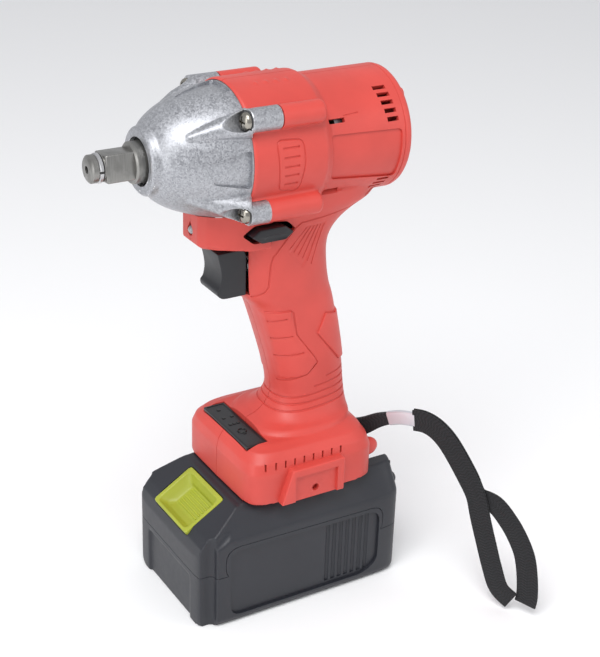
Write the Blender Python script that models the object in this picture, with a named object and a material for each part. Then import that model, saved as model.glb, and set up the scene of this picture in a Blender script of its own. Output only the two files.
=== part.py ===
"""Cordless impact wrench with a slide-on battery, as separate solids.

Frame: metres, +Z up, the drive points along -X, the tool's left side is -Y.
The origin is the middle of the battery's flat underside.
"""
import math

import bmesh
import bpy
from mathutils import Matrix, Vector

MM = 0.001
GAP = 0.3 * MM                      # face gap between pieces that touch
RUN = 0.35 * MM                     # face gap between pieces that move on each other

# ---- driving dimensions -------------------------------------------------------------
AXIS_Z = 235 * MM                   # height of the drive axis above the battery's underside
TIP_X = -95.3 * MM                  # front of the anvil
NOSE_X = -71 * MM                   # front of the hammer case
CASE_REAR_X = -22 * MM              # joint between hammer case and housing
COLLAR_REAR_X = 9.3 * MM            # end of the wide collar behind the joint
BARREL_REAR_X = 51 * MM             # joint between housing and rear cap
CAP_LENGTH = 4.8 * MM

NOSE_RADIUS = 15.5 * MM
CASE_RADIUS = 31.2 * MM
COLLAR_RADIUS = 32.2 * MM
BARREL_RADIUS = 29.6 * MM
SHELL_WALL = 2.4 * MM
SPIGOT_WALL = 1.4 * MM
SPIGOT_LENGTH = 10.5 * MM

DRIVE_SQUARE = 12.7 * MM            # half-inch square drive
DRIVE_TURN = math.radians(6)
JOURNAL_RADIUS = 9.5 * MM
BUSH_WALL = 2.2 * MM
BUSH_LENGTH = 19 * MM

LUG_COUNT = 2
HAMMER_RADIUS = 24.5 * MM
HAMMER_LENGTH = 20.5 * MM
HAMMER_STROKE = 8 * MM
SPINDLE_RADIUS = 8 * MM

GEAR_MODULE = 0.8 * MM
SUN_TEETH = 9
PLANET_TEETH = 21
PLANET_COUNT = 3
GEAR_WIDTH = 8 * MM
PIN_RADIUS = 2 * MM

SHAFT_RADIUS = 4 * MM
ROTOR_RADIUS = 12.5 * MM
CORE_LENGTH = 22 * MM
FAN_RADIUS = 22 * MM
SLOT_ORBIT = 16.5 * MM
SLOT_RADIUS = 3 * MM

CASE_SCREW_Y = 28.5 * MM
CASE_SCREW_Z = 21.4 * MM
CASE_LOBE_RADIUS = 5.4 * MM
CASE_LOBE_LENGTH = 10 * MM
CASE_SCREW_RADIUS = 2 * MM
CASE_HEAD_RADIUS = 4.2 * MM

GRIP_HALF_WIDTH = 16.5 * MM
TRIGGER_HALF_WIDTH = 9 * MM
TRIGGER_REAR_X = -20.6 * MM
TRIGGER_DROP = 47.4 * MM            # drive axis to the trigger's top
TRIGGER_HEIGHT = 23.6 * MM
TRIGGER_TRAVEL = 6 * MM
SWITCH_FRONT_X = -10.4 * MM
SWITCH_REAR_X = 11.5 * MM
STEM_RADIUS = 1.8 * MM
LEVER_FRONT_X = -24.3 * MM
LEVER_REAR_X = -2.2 * MM
LEVER_PIVOT_X = 8 * MM
LEVER_DROP = 41 * MM                # drive axis to the lever's underside
LEVER_HEIGHT = 7 * MM
LEVER_HALF_SPAN = 21 * MM
LEVER_SWING = math.radians(6)
CHIN_FRONT_X = -45.5 * MM
CHIN_HALF_WIDTH = 10.5 * MM
CHIN_DROP = 44 * MM                 # drive axis to the chin's underside
LAMP_DROP = 36.7 * MM
LAMP_RADIUS = 2.2 * MM
POST_RADIUS = 3.6 * MM              # posts that join the housing halves
POST_SCREW_RADIUS = 1.5 * MM
POST_HEAD_RADIUS = 3 * MM

FOOT_FRONT_X = -31 * MM
FOOT_REAR_X = 42 * MM
FOOT_HALF_WIDTH = 36.3 * MM
FOOT_HEIGHT = 27.4 * MM
FOOT_CLEARANCE = 0.8 * MM           # between the foot and the battery's deck

PANEL_FRONT_X = -26.6 * MM
PANEL_LENGTH = 11.7 * MM
PANEL_HALF_WIDTH = 22.7 * MM
BOARD_THICKNESS = 1.6 * MM

BATTERY_LENGTH = 116 * MM
BATTERY_HALF_WIDTH = 37.8 * MM
BATTERY_WALL = 2.2 * MM
BATTERY_SEAM_Z = 29 * MM
BATTERY_DECK_Z = 61.8 * MM
RAIL_NECK = 20 * MM
RAIL_HALF_WIDTH = 24 * MM
RAIL_DROP = 5.6 * MM                # foot's underside to the top of the rail's flange
RAIL_THICKNESS = 3.5 * MM
RAIL_FRONT_X = -22 * MM
RAIL_REAR_X = 40 * MM
CELL_RADIUS = 9.1 * MM
CELL_LENGTH = 64.6 * MM
CELL_COLUMNS = 5
CELL_END_GAP = 7.2 * MM             # last cell to the battery's rear face
CELL_ROWS = 2

CONTACT_Y = (-8 * MM, 8 * MM)

BUTTON_HALF_WIDTH = 16.5 * MM
BUTTON_DEPTH = 9 * MM
BUTTON_TRAVEL = 2.5 * MM
BUTTON_LIP = 2.4 * MM
SLOPE_DROP = 13.2 * MM              # height lost along the battery's sloping front

STRAP_WIDTH = 11.5 * MM
STRAP_THICKNESS = 1.2 * MM
STRAP_START = Vector((45.5 * MM, -11.5 * MM, 0))
STRAP_HEADING = Vector((0.455, -0.890, 0)).normalized()

# ---- worked out from them -----------------------------------------------------------
CAP_REAR_X = BARREL_REAR_X + CAP_LENGTH
FOOT_BOTTOM_Z = BATTERY_DECK_Z + FOOT_CLEARANCE
FOOT_TOP_Z = FOOT_BOTTOM_Z + FOOT_HEIGHT
BATTERY_SHOULDER_Z = BATTERY_DECK_Z - 12.8 * MM
RAIL_SHELF_Z = FOOT_BOTTOM_Z - RAIL_DROP
RAIL_BOTTOM_Z = RAIL_SHELF_Z - RAIL_THICKNESS
BOARD_Z = FOOT_TOP_Z - 10.4 * MM
TRIGGER_TOP_Z = AXIS_Z - TRIGGER_DROP
TRIGGER_BOTTOM_Z = TRIGGER_TOP_Z - TRIGGER_HEIGHT
STEM_Z = (TRIGGER_TOP_Z + TRIGGER_BOTTOM_Z) / 2
LEVER_Z = AXIS_Z - LEVER_DROP
LAMP_Z = AXIS_Z - LAMP_DROP
SPIGOT_RADIUS = COLLAR_RADIUS - SHELL_WALL + 0.2 * MM - GAP
BARREL_BORE = BARREL_RADIUS - SHELL_WALL - GAP
RING_TEETH = SUN_TEETH + 2 * PLANET_TEETH
ORBIT = GEAR_MODULE * (SUN_TEETH + PLANET_TEETH) / 2
LUG_REAR_X = NOSE_X + 30 * MM       # plane where the hammer's face meets the anvil's lugs
HAMMER_REAR_X = LUG_REAR_X + RUN + HAMMER_LENGTH
CARRIER_X = HAMMER_REAR_X + HAMMER_STROKE + 2.5 * MM
GEAR_X = CARRIER_X + 3 * MM + RUN
PLATE_X = GEAR_X + GEAR_WIDTH + RUN + 2.4 * MM
MOTOR_X = PLATE_X + 12 * MM

HIGH = 24                           # sides of large round pieces
MID = 16
LOW = 10


# ---- small modelling tools ----------------------------------------------------------
def clear_scene():
    for old in list(bpy.data.objects):
        bpy.data.objects.remove(old, do_unlink=True)


def material(name, colour, roughness, metallic=0.0):
    made = bpy.data.materials.new(name)
    made.use_nodes = True
    shader = made.node_tree.nodes["Principled BSDF"]
    shader.inputs["Base Color"].default_value = (*colour, 1.0)
    shader.inputs["Roughness"].default_value = roughness
    shader.inputs["Metallic"].default_value = metallic
    return made


def mesh_object(name, points, faces, look=None, smooth=False):
    mesh = bpy.data.meshes.new(name)
    mesh.from_pydata([tuple(p) for p in points], [], faces)
    made = bpy.data.objects.new(name, mesh)
    bpy.context.scene.collection.objects.link(made)
    face_outward(mesh)
    if look:
        mesh.materials.append(look)
    if smooth:
        mesh.shade_smooth()
        mesh.set_sharp_from_angle(angle=math.radians(35))
    return made


def face_outward(mesh):
    work = bmesh.new()
    work.from_mesh(mesh)
    bmesh.ops.recalc_face_normals(work, faces=work.faces)
    work.to_mesh(mesh)
    work.free()


def dress(body, name, look, smooth=True):
    """Names a finished shape and gives it its material."""
    body.name = name
    body.data.name = name
    body.data.materials.clear()
    body.data.materials.append(look)
    if smooth:
        body.data.shade_smooth()
        body.data.set_sharp_from_angle(angle=math.radians(35))
    return body


def combine(body, tool, operation):
    """Applies a Boolean of the tool to the body and removes the tool.

    The lofted shells are cut many times over, which the exact solver leaves with open
    edges, so the manifold solver is used. Every shape here is closed.
    """
    change = body.modifiers.new("combine", "BOOLEAN")
    change.operation = operation
    change.solver = "MANIFOLD"
    change.object = tool
    bpy.context.view_layer.update()
    graph = bpy.context.evaluated_depsgraph_get()
    mesh = bpy.data.meshes.new_from_object(body.evaluated_get(graph))
    body.modifiers.clear()
    body.data = mesh
    bpy.data.objects.remove(tool, do_unlink=True)
    return body


def cut(body, *tools):
    for tool in tools:
        combine(body, tool, "DIFFERENCE")
    return body


def add(body, *tools):
    for tool in tools:
        combine(body, tool, "UNION")
    return body


def loft(name, rings, look=None, smooth=True):
    """Skins a row of equal rings of points and caps both ends."""
    count = len(rings[0])
    points = [p for ring in rings for p in ring]
    faces = []
    for level in range(len(rings) - 1):
        for i in range(count):
            j = (i + 1) % count
            a = level * count
            faces.append((a + i, a + j, a + count + j, a + count + i))
    faces.append(tuple(range(count)))
    faces.append(tuple(range((len(rings) - 1) * count, len(rings) * count)))
    return mesh_object(name, points, faces, look, smooth)


def box(name, low, high, look=None):
    x0, y0, z0 = low
    x1, y1, z1 = high
    rings = [[(x0, y0, z), (x1, y0, z), (x1, y1, z), (x0, y1, z)] for z in (z0, z1)]
    return loft(name, rings, look, smooth=False)


def turned(name, profile, sides=HIGH, look=None, y=0.0, z=None, tube=False):
    """Turns (x, radius) points about the line through (y, z) along X.

    A tube profile is a closed outline that stays off the axis.
    """
    z = AXIS_Z if z is None else z
    rings = []
    for x, radius in profile:
        ring = []
        for i in range(sides):
            turn = 2 * math.pi * (i + 0.5) / sides
            ring.append((x, y + radius * math.cos(turn), z + radius * math.sin(turn)))
        rings.append(ring)
    if not tube:
        return loft(name, rings, look)
    points = [p for ring in rings for p in ring]
    faces = []
    for level in range(len(rings)):
        a = level * sides
        b = ((level + 1) % len(rings)) * sides
        for i in range(sides):
            j = (i + 1) % sides
            faces.append((a + i, a + j, b + j, b + i))
    return mesh_object(name, points, faces, look, smooth=True)


def ring_tube(name, x0, x1, inner, outer, sides=HIGH, look=None, y=0.0, z=None):
    profile = [(x0, inner), (x0, outer), (x1, outer), (x1, inner)]
    return turned(name, profile, sides, look, y, z, tube=True)


def rod(name, start, end, radius, sides=MID, look=None):
    """A round bar between two points."""
    start, end = Vector(start), Vector(end)
    along = (end - start).normalized()
    turn = along.to_track_quat("Z", "Y").to_matrix()
    rings = []
    for centre in (start, end):
        ring = []
        for i in range(sides):
            angle = 2 * math.pi * (i + 0.5) / sides
            ring.append(centre + turn @ Vector((radius * math.cos(angle), radius * math.sin(angle), 0)))
        rings.append(ring)
    return loft(name, rings, look)


def oval(x0, x1, half_width, z, power=2.6, sides=20):
    """A rounded horizontal ring between two x values."""
    middle = (x0 + x1) / 2
    reach = (x1 - x0) / 2
    ring = []
    for i in range(sides):
        turn = 2 * math.pi * i / sides
        c, s = math.cos(turn), math.sin(turn)
        x = middle + reach * math.copysign(abs(c) ** (2 / power), c)
        y = half_width * math.copysign(abs(s) ** (2 / power), s)
        ring.append((x, y, z))
    return ring


def pivot_at(body, point):
    """Moves the object's origin to a point without moving its shape."""
    point = Vector(point)
    body.data.transform(Matrix.Translation(-point))
    body.location = point
    return body


def coil(name, start, end, radius, wire, turns, sides=5, per_turn=9, look=None):
    """A compression spring along the line from start to end."""
    start, end = Vector(start), Vector(end)
    along = (end - start).normalized()
    turn = along.to_track_quat("Z", "Y").to_matrix()
    length = (end - start).length - 2 * wire
    steps = turns * per_turn
    rings = []
    for i in range(steps + 1):
        angle = 2 * math.pi * i / per_turn
        out = Vector((math.cos(angle), math.sin(angle), 0))
        centre = out * radius + Vector((0, 0, wire + length * i / steps))
        ring = []
        for k in range(sides):
            around = 2 * math.pi * k / sides
            offset = out * wire * math.cos(around) + Vector((0, 0, wire * math.sin(around)))
            ring.append(start + turn @ (centre + offset))
        rings.append(ring)
    return loft(name, rings, look)


# ---- looks --------------------------------------------------------------------------
def make_looks():
    return {
        "red": material("red_plastic", (0.72, 0.09, 0.07), 0.45),
        "black": material("black_plastic", (0.02, 0.02, 0.025), 0.5),
        "charcoal": material("charcoal_plastic", (0.045, 0.05, 0.065), 0.5),
        "green": material("lime_plastic", (0.45, 0.55, 0.06), 0.4),
        "cast": material("cast_aluminium", (0.62, 0.62, 0.64), 0.42, 0.9),
        "steel": material("bright_steel", (0.6, 0.6, 0.6), 0.28, 1.0),
        "dark_steel": material("dark_steel", (0.12, 0.12, 0.12), 0.4, 0.9),
        "bronze": material("bearing_bronze", (0.55, 0.35, 0.14), 0.4, 1.0),
        "rubber": material("seal_rubber", (0.03, 0.03, 0.03), 0.8),
        "copper": material("copper_winding", (0.6, 0.27, 0.12), 0.35, 1.0),
        "board": material("circuit_board", (0.03, 0.18, 0.08), 0.5),
        "lens": material("clear_lens", (0.85, 0.87, 0.9), 0.1),
        "cell": material("cell_wrap", (0.05, 0.25, 0.45), 0.4),
        "webbing": material("black_webbing", (0.02, 0.02, 0.02), 0.9),
    }


# ---- housing ------------------------------------------------------------------------
def grip_levels(inset):
    """Handle rings as a share of the way from foot to axis, front x, back x, half width."""
    grip = GRIP_HALF_WIDTH
    levels = [
        (-0.075, -19 * MM, 38.5 * MM, grip + 10 * MM),
        (0.004, -17 * MM, 39.3 * MM, grip + 9.5 * MM),
        (0.028, -9 * MM, 39.2 * MM, grip + 4.5 * MM),
        (0.062, -3.6 * MM, 38.7 * MM, grip + 0.8 * MM),
        (0.110, -1 * MM, 38 * MM, grip - 0.8 * MM),
        (0.193, -2.8 * MM, 36.6 * MM, grip - 0.8 * MM),
        (0.276, -6.1 * MM, 34.6 * MM, grip - 0.3 * MM),
        (0.366, -10.2 * MM, 32 * MM, grip),
        (0.448, -14.5 * MM, 29.4 * MM, grip),
        (0.503, -20.6 * MM, 27 * MM, grip),
        (0.572, -21.5 * MM, 25.2 * MM, grip + 0.4 * MM),
        (0.648, -21.5 * MM, 24.6 * MM, grip + 0.8 * MM),
        (0.697, -21.5 * MM, 27 * MM, grip + 1 * MM),
        (0.738, -21.5 * MM, 32.5 * MM, grip + 1.5 * MM),
        (0.772, -21.5 * MM, 40 * MM, grip + 2.5 * MM),
        (0.807, -21.5 * MM, 48.5 * MM, grip + 4.5 * MM),
        (0.855, -21.5 * MM, 50.5 * MM, grip + 6 * MM),
    ]
    rise = AXIS_Z - FOOT_TOP_Z
    return [oval(front + inset, back - inset, half - inset, FOOT_TOP_Z + share * rise, 2.7)
            for share, front, back, half in levels]


def foot_levels(inset):
    """Rings of the block that sits on the battery."""
    front, rear, half = FOOT_FRONT_X + inset, FOOT_REAR_X - inset, FOOT_HALF_WIDTH - inset
    top = FOOT_TOP_Z - inset
    bottom = FOOT_BOTTOM_Z + (2 * MM if inset else 0)
    return [
        oval(front, rear, half, bottom, 7),
        oval(front, rear, half, top - 11 * MM, 7),
        oval(front + 1 * MM, rear - 1 * MM, half - 1.2 * MM, top - 6 * MM, 6),
        oval(front + 3.5 * MM, rear - 3 * MM, half - 4.5 * MM, top - 2 * MM, 5),
        oval(front + 7 * MM, rear - 6 * MM, half - 10 * MM, top, 5),
    ]


def chin_solid(inset):
    """The block under the hammer case that carries the lamp."""
    front = CHIN_FRONT_X + inset
    middle = CHIN_FRONT_X + 9.5 * MM
    shoulder = CHIN_FRONT_X + 23.5 * MM
    rear = CHIN_FRONT_X + 33.5 * MM
    bottom = AXIS_Z - CHIN_DROP + inset
    half = CHIN_HALF_WIDTH - inset
    waist = CHIN_HALF_WIDTH + 2.5 * MM - inset
    wide = GRIP_HALF_WIDTH + 0.9 * MM - inset
    corner = 3 * MM
    rings = []
    for z, step, sag in ((bottom, 2.5 * MM, 1.6 * MM), (bottom + 2 * MM, 0, 1.6 * MM),
                         (AXIS_Z - 21 * MM, 0, 0)):
        edge = [(front + step, -half + corner, z), (front + corner + step, -half, z),
                (middle, -waist, z), (shoulder, -wide, z - sag), (rear, -wide, z - sag)]
        rings.append(edge + [(x, -y, level) for x, y, level in reversed(edge)])
    return loft("chin", rings)


def head_solid(inset):
    collar = COLLAR_RADIUS - (SHELL_WALL - 0.2 * MM if inset else 0)
    barrel = BARREL_RADIUS - inset
    start = CASE_REAR_X + GAP if not inset else CASE_REAR_X - 1 * MM
    step = COLLAR_REAR_X if not inset else COLLAR_REAR_X - SHELL_WALL
    end = BARREL_REAR_X if not inset else BARREL_REAR_X + 1 * MM
    profile = [(start, collar), (step - 2 * MM, collar), (step, collar - 1 * MM),
               (step + 2.5 * MM, barrel), (end, barrel)]
    return turned("head", profile)


def case_screw_places():
    return [(sy * CASE_SCREW_Y, AXIS_Z + sz * CASE_SCREW_Z) for sy in (-1, 1) for sz in (1, -1)]


def post_places():
    """x, z, half length and screw-head seat of the posts that join the housing halves."""
    grip_post = (GRIP_HALF_WIDTH - 2.5 * MM, GRIP_HALF_WIDTH - 6 * MM)
    foot_post = (FOOT_HALF_WIDTH - 1.2 * MM, FOOT_HALF_WIDTH - 5 * MM)
    foot_z = FOOT_BOTTOM_Z + 11 * MM
    return [(18 * MM, AXIS_Z - 59 * MM, *grip_post), (11 * MM, FOOT_TOP_Z + 38 * MM, *grip_post),
            (FOOT_FRONT_X + 7 * MM, foot_z, *foot_post), (FOOT_REAR_X - 7 * MM, foot_z, *foot_post)]


def inner_space():
    space = head_solid(SHELL_WALL)
    add(space, loft("grip_space", grip_levels(SHELL_WALL)),
        loft("foot_space", foot_levels(SHELL_WALL)),
        chin_solid(SHELL_WALL))
    return space


def housing_whole():
    shell = head_solid(0)
    add(shell, loft("grip", grip_levels(0)), loft("foot", foot_levels(0)), chin_solid(0))
    for y, z in case_screw_places():
        rib_end = COLLAR_REAR_X - 4 * MM
        add(shell, rod("rib", (CASE_REAR_X + GAP, y, z), (rib_end, y, z), CASE_LOBE_RADIUS, LOW))
    add(shell, belt_pad())
    cut(shell, inner_space(), case_cutter())
    add(shell, battery_rail())
    cut(shell, box("terminal_window", (1 * MM, -13.5 * MM, RAIL_BOTTOM_Z - 5 * MM),
                   (27 * MM, 13.5 * MM, FOOT_BOTTOM_Z + 4 * MM)))
    for y, z in case_screw_places():
        cut(shell, rod("screw_hole", (CASE_REAR_X - 1 * MM, y, z),
                       (CASE_REAR_X + 16 * MM, y, z), CASE_SCREW_RADIUS + GAP, LOW))
    housing_posts(shell)
    housing_openings(shell)
    return shell


def belt_pad():
    """Raised pad on the foot's left side that a belt hook screws to."""
    outer = FOOT_HALF_WIDTH + 4.2 * MM
    top = FOOT_TOP_Z - 9.5 * MM
    outline = [(-15.5 * MM, FOOT_BOTTOM_Z), (19.5 * MM, FOOT_BOTTOM_Z), (19.5 * MM, top), (-10 * MM, top)]
    pad = loft("pad", [[(x, y, z) for x, z in outline]
                       for y in (-outer, -FOOT_HALF_WIDTH + 1.2 * MM)], smooth=False)
    cut(pad, box("recess", (-7 * MM, -outer - 1 * MM, FOOT_BOTTOM_Z - 1 * MM),
                 (15 * MM, -outer + 1.2 * MM, top - 4.5 * MM)))
    return pad


def battery_rail():
    """T-shaped rail under the foot that the battery slides on."""
    rail = box("neck", (RAIL_FRONT_X, -RAIL_NECK, RAIL_SHELF_Z - 1 * MM),
               (RAIL_REAR_X, RAIL_NECK, FOOT_BOTTOM_Z + 1 * MM))
    add(rail, box("flange", (RAIL_FRONT_X, -RAIL_HALF_WIDTH, RAIL_BOTTOM_Z),
                  (RAIL_REAR_X, RAIL_HALF_WIDTH, RAIL_SHELF_Z)))
    return rail


def case_profile():
    """Outer outline of the hammer case as x from the nose and radius."""
    return [(0, NOSE_RADIUS - 1 * MM), (1 * MM, NOSE_RADIUS), (4 * MM, NOSE_RADIUS + 0.8 * MM),
            (7 * MM, NOSE_RADIUS + 4 * MM), (13 * MM, NOSE_RADIUS + 7.8 * MM),
            (21 * MM, CASE_RADIUS - 4.6 * MM), (29 * MM, CASE_RADIUS - 2.1 * MM),
            (37 * MM, CASE_RADIUS - 0.5 * MM), (CASE_REAR_X - NOSE_X, CASE_RADIUS)]


def case_cutter():
    """The hammer case's outline with its gap, which the chin cradles."""
    profile = [(NOSE_X + x, r + GAP) for x, r in case_profile()]
    profile[-1] = (CASE_REAR_X + 1.5 * GAP, CASE_RADIUS + GAP)
    cutter = turned("case_cutter", profile)
    for y, z in case_screw_places():
        add(cutter, rod("lobe", (CASE_REAR_X - CASE_LOBE_LENGTH - 12 * MM, y, z),
                        (CASE_REAR_X - GAP, y, z), CASE_LOBE_RADIUS + GAP, LOW))
    return cutter


def housing_posts(shell):
    """Screw posts that meet at the parting plane."""
    far = 2 * FOOT_HALF_WIDTH
    for x, z, half, seat in post_places():
        add(shell, rod("post", (x, -half, z), (x, half, z), POST_RADIUS, LOW))
        cut(shell, rod("post_hole", (x, -6 * MM, z), (x, far, z), POST_SCREW_RADIUS + GAP, LOW),
            rod("counterbore", (x, seat, z), (x, far, z), POST_HEAD_RADIUS + GAP, LOW))


def housing_openings(shell):
    swing = LEVER_HALF_SPAN * math.sin(LEVER_SWING) + RUN
    beyond = LEVER_HALF_SPAN + 9 * MM
    trigger_side = TRIGGER_HALF_WIDTH + RUN
    lamp_side = LAMP_RADIUS + 0.4 * MM
    cut(shell,
        box("trigger_mouth", (TRIGGER_REAR_X - 5.4 * MM, -trigger_side, TRIGGER_BOTTOM_Z - RUN),
            (TRIGGER_REAR_X + TRIGGER_TRAVEL + 0.6 * MM, trigger_side, TRIGGER_TOP_Z + RUN)),
        box("lever_mouth", (LEVER_FRONT_X - swing, -beyond, LEVER_Z - 1.4 * MM),
            (LEVER_REAR_X + swing, beyond, LEVER_Z + LEVER_HEIGHT + 1.4 * MM)),
        box("lamp_mouth", (CHIN_FRONT_X - 4.5 * MM, -lamp_side, LAMP_Z - 2.9 * MM),
            (CHIN_FRONT_X + 7.5 * MM, lamp_side, LAMP_Z + 2.9 * MM)),
        box("panel_seat", (PANEL_FRONT_X - GAP, -PANEL_HALF_WIDTH - GAP, FOOT_TOP_Z - 2.6 * MM),
            (PANEL_FRONT_X + PANEL_LENGTH + GAP, PANEL_HALF_WIDTH + GAP, FOOT_TOP_Z + 4 * MM)),
        box("panel_window", (PANEL_FRONT_X + 2.6 * MM, -PANEL_HALF_WIDTH + 2.7 * MM, FOOT_TOP_Z - 8 * MM),
            (PANEL_FRONT_X + PANEL_LENGTH - 2.1 * MM, PANEL_HALF_WIDTH - 2.7 * MM, FOOT_TOP_Z)),
        box("strap_slot", (FOOT_REAR_X - 6 * MM, -16 * MM, FOOT_TOP_Z - 20 * MM),
            (FOOT_REAR_X + 4 * MM, -4 * MM, FOOT_TOP_Z - 8 * MM)))
    barrel_vents(shell)


def barrel_vents(shell):
    """Cooling slots round the barrel's rear and two on each side behind the collar."""
    half = 1.2 * MM
    for i in range(5):
        turn = math.radians(22 + 11 * i)
        for side, up in ((-1, -1), (-1, 1), (1, -1), (1, 1)):
            y = side * math.cos(turn) * BARREL_RADIUS
            z = AXIS_Z + up * math.sin(turn) * BARREL_RADIUS
            cut(shell, box("vent", (BARREL_REAR_X - 9.5 * MM, y - 4 * MM, z - half),
                           (BARREL_REAR_X - 3 * MM, y + 4 * MM, z + half)))
    for y in (-BARREL_RADIUS + 3.6 * MM, BARREL_RADIUS - 3.6 * MM):
        for z in (AXIS_Z + 14.5 * MM, AXIS_Z - 16.5 * MM):
            cut(shell, box("side_slot", (COLLAR_REAR_X + 0.7 * MM, y - 6 * MM, z - half),
                           (COLLAR_REAR_X + 9.7 * MM, y + 6 * MM, z + half)))


def housing_halves(look):
    whole = housing_whole()
    for name, side in (("left_housing", -1), ("right_housing", 1)):
        half = whole.copy()
        half.data = whole.data.copy()
        bpy.context.scene.collection.objects.link(half)
        near = side * GAP / 2
        far = side * 0.1
        low = (-0.2, min(near, far), -0.05)
        high = (0.2, max(near, far), 0.35)
        combine(half, box("side", low, high), "INTERSECT")
        dress(half, name, look)
    bpy.data.objects.remove(whole, do_unlink=True)


def housing_screws(look):
    for number, (x, z, _, seat) in enumerate(post_places(), 1):
        under = seat + GAP
        screw = rod("shank", (x, -4 * MM, z), (x, under + 1 * MM, z), POST_SCREW_RADIUS, LOW)
        add(screw, rod("head", (x, under, z), (x, under + 2.4 * MM, z), POST_HEAD_RADIUS, LOW))
        dress(screw, "housing_screw_%d" % number, look)


def rear_cap(look):
    """Closed end of the motor barrel with a cup for the rear bearing."""
    start = BARREL_REAR_X + GAP
    end = CAP_REAR_X
    cup = 8.3 * MM
    centre = 0.05 * MM
    profile = [(start, centre), (start, cup), (start - 3 * MM, cup), (start - 3 * MM, cup + 2 * MM),
               (start, cup + 2 * MM), (start, BARREL_RADIUS), (end - 2.2 * MM, BARREL_RADIUS),
               (end - 0.6 * MM, BARREL_RADIUS - 1.4 * MM), (end, BARREL_RADIUS - 3.4 * MM),
               (end, centre)]
    body = turned("rear_cap", profile)
    top = AXIS_Z + BARREL_RADIUS * 0.62
    add(body, rod("bump", (end - 1 * MM, -14 * MM, top), (end + 1.6 * MM, -14 * MM, top), 3 * MM, LOW))
    dress(body, "rear_cap", look)


# ---- hammer case and nose -----------------------------------------------------------
def hammer_case(look):
    outer = [(NOSE_X + x, r) for x, r in case_profile()]
    bush = JOURNAL_RADIUS + RUN + BUSH_WALL + GAP
    spigot = SPIGOT_RADIUS
    spigot_end = CASE_REAR_X + SPIGOT_LENGTH
    chamber = spigot - SPIGOT_WALL
    lug_front = LUG_REAR_X - 7 * MM
    outline = outer + [
        (CASE_REAR_X, spigot), (spigot_end, spigot), (spigot_end, chamber),
        (CASE_REAR_X - 14 * MM, chamber - 1.2 * MM), (LUG_REAR_X - 2 * MM, chamber - 3 * MM),
        (lug_front, chamber - 8 * MM), (lug_front, bush), (NOSE_X + 2.2 * MM, bush),
        (NOSE_X + 2.2 * MM, bush - 1 * MM), (NOSE_X, bush - 1 * MM)]
    body = turned("case", outline, tube=True)
    for y, z in case_screw_places():
        seat = CASE_REAR_X - CASE_LOBE_LENGTH
        lobe = rod("lobe", (seat, y, z), (CASE_REAR_X, y, z), CASE_LOBE_RADIUS, LOW)
        add(body, lobe)
        cut(body, rod("scoop", (seat - 12 * MM, y, z), (seat, y, z), CASE_HEAD_RADIUS + 0.8 * MM, LOW),
            rod("hole", (seat - 1 * MM, y, z), (CASE_REAR_X + 1 * MM, y, z),
                CASE_SCREW_RADIUS + GAP, LOW))
    dress(body, "hammer_case", look)


def case_screws(look):
    for number, (y, z) in enumerate(case_screw_places(), 1):
        seat = CASE_REAR_X - CASE_LOBE_LENGTH - GAP
        screw = rod("shank", (seat - 1 * MM, y, z), (CASE_REAR_X + 15 * MM, y, z),
                    CASE_SCREW_RADIUS, LOW)
        head = rod("head", (seat - 3 * MM, y, z), (seat, y, z), CASE_HEAD_RADIUS, MID)
        add(screw, head)
        cut(screw, box("slot", (seat - 4 * MM, y - 0.5 * MM, z - 2.4 * MM),
                       (seat - 1.6 * MM, y + 0.5 * MM, z + 2.4 * MM)))
        dress(screw, "case_screw_%d" % number, look)


def nose_bushing(look):
    inner = JOURNAL_RADIUS + RUN
    start = NOSE_X + 6 * MM
    body = ring_tube("nose_bushing", start, start + BUSH_LENGTH - 2 * MM - GAP, inner,
                     inner + BUSH_WALL)
    dress(body, "nose_bushing", look)


def nose_seal(look):
    inner = JOURNAL_RADIUS + RUN
    start = NOSE_X + 2.2 * MM + GAP
    body = ring_tube("nose_seal", start, NOSE_X + 6 * MM - GAP, inner, inner + BUSH_WALL)
    dress(body, "nose_seal", look)


# ---- impact mechanism ---------------------------------------------------------------
def lug_ring(x0, x1, inner, outer, start_degrees, sweep_degrees):
    """Two opposed arc lugs as one list of solids."""
    lugs = []
    steps = 6
    for k in range(LUG_COUNT):
        begin = math.radians(start_degrees + 360 / LUG_COUNT * k)
        outline = []
        for i in range(steps + 1):
            turn = begin + math.radians(sweep_degrees) * i / steps
            outline.append((outer * math.cos(turn), outer * math.sin(turn)))
        for i in range(steps, -1, -1):
            turn = begin + math.radians(sweep_degrees) * i / steps
            outline.append((inner * math.cos(turn), inner * math.sin(turn)))
        rings = [[(x, y, AXIS_Z + z) for y, z in outline] for x in (x0, x1)]
        lugs.append(loft("lug", rings))
    return lugs


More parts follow.
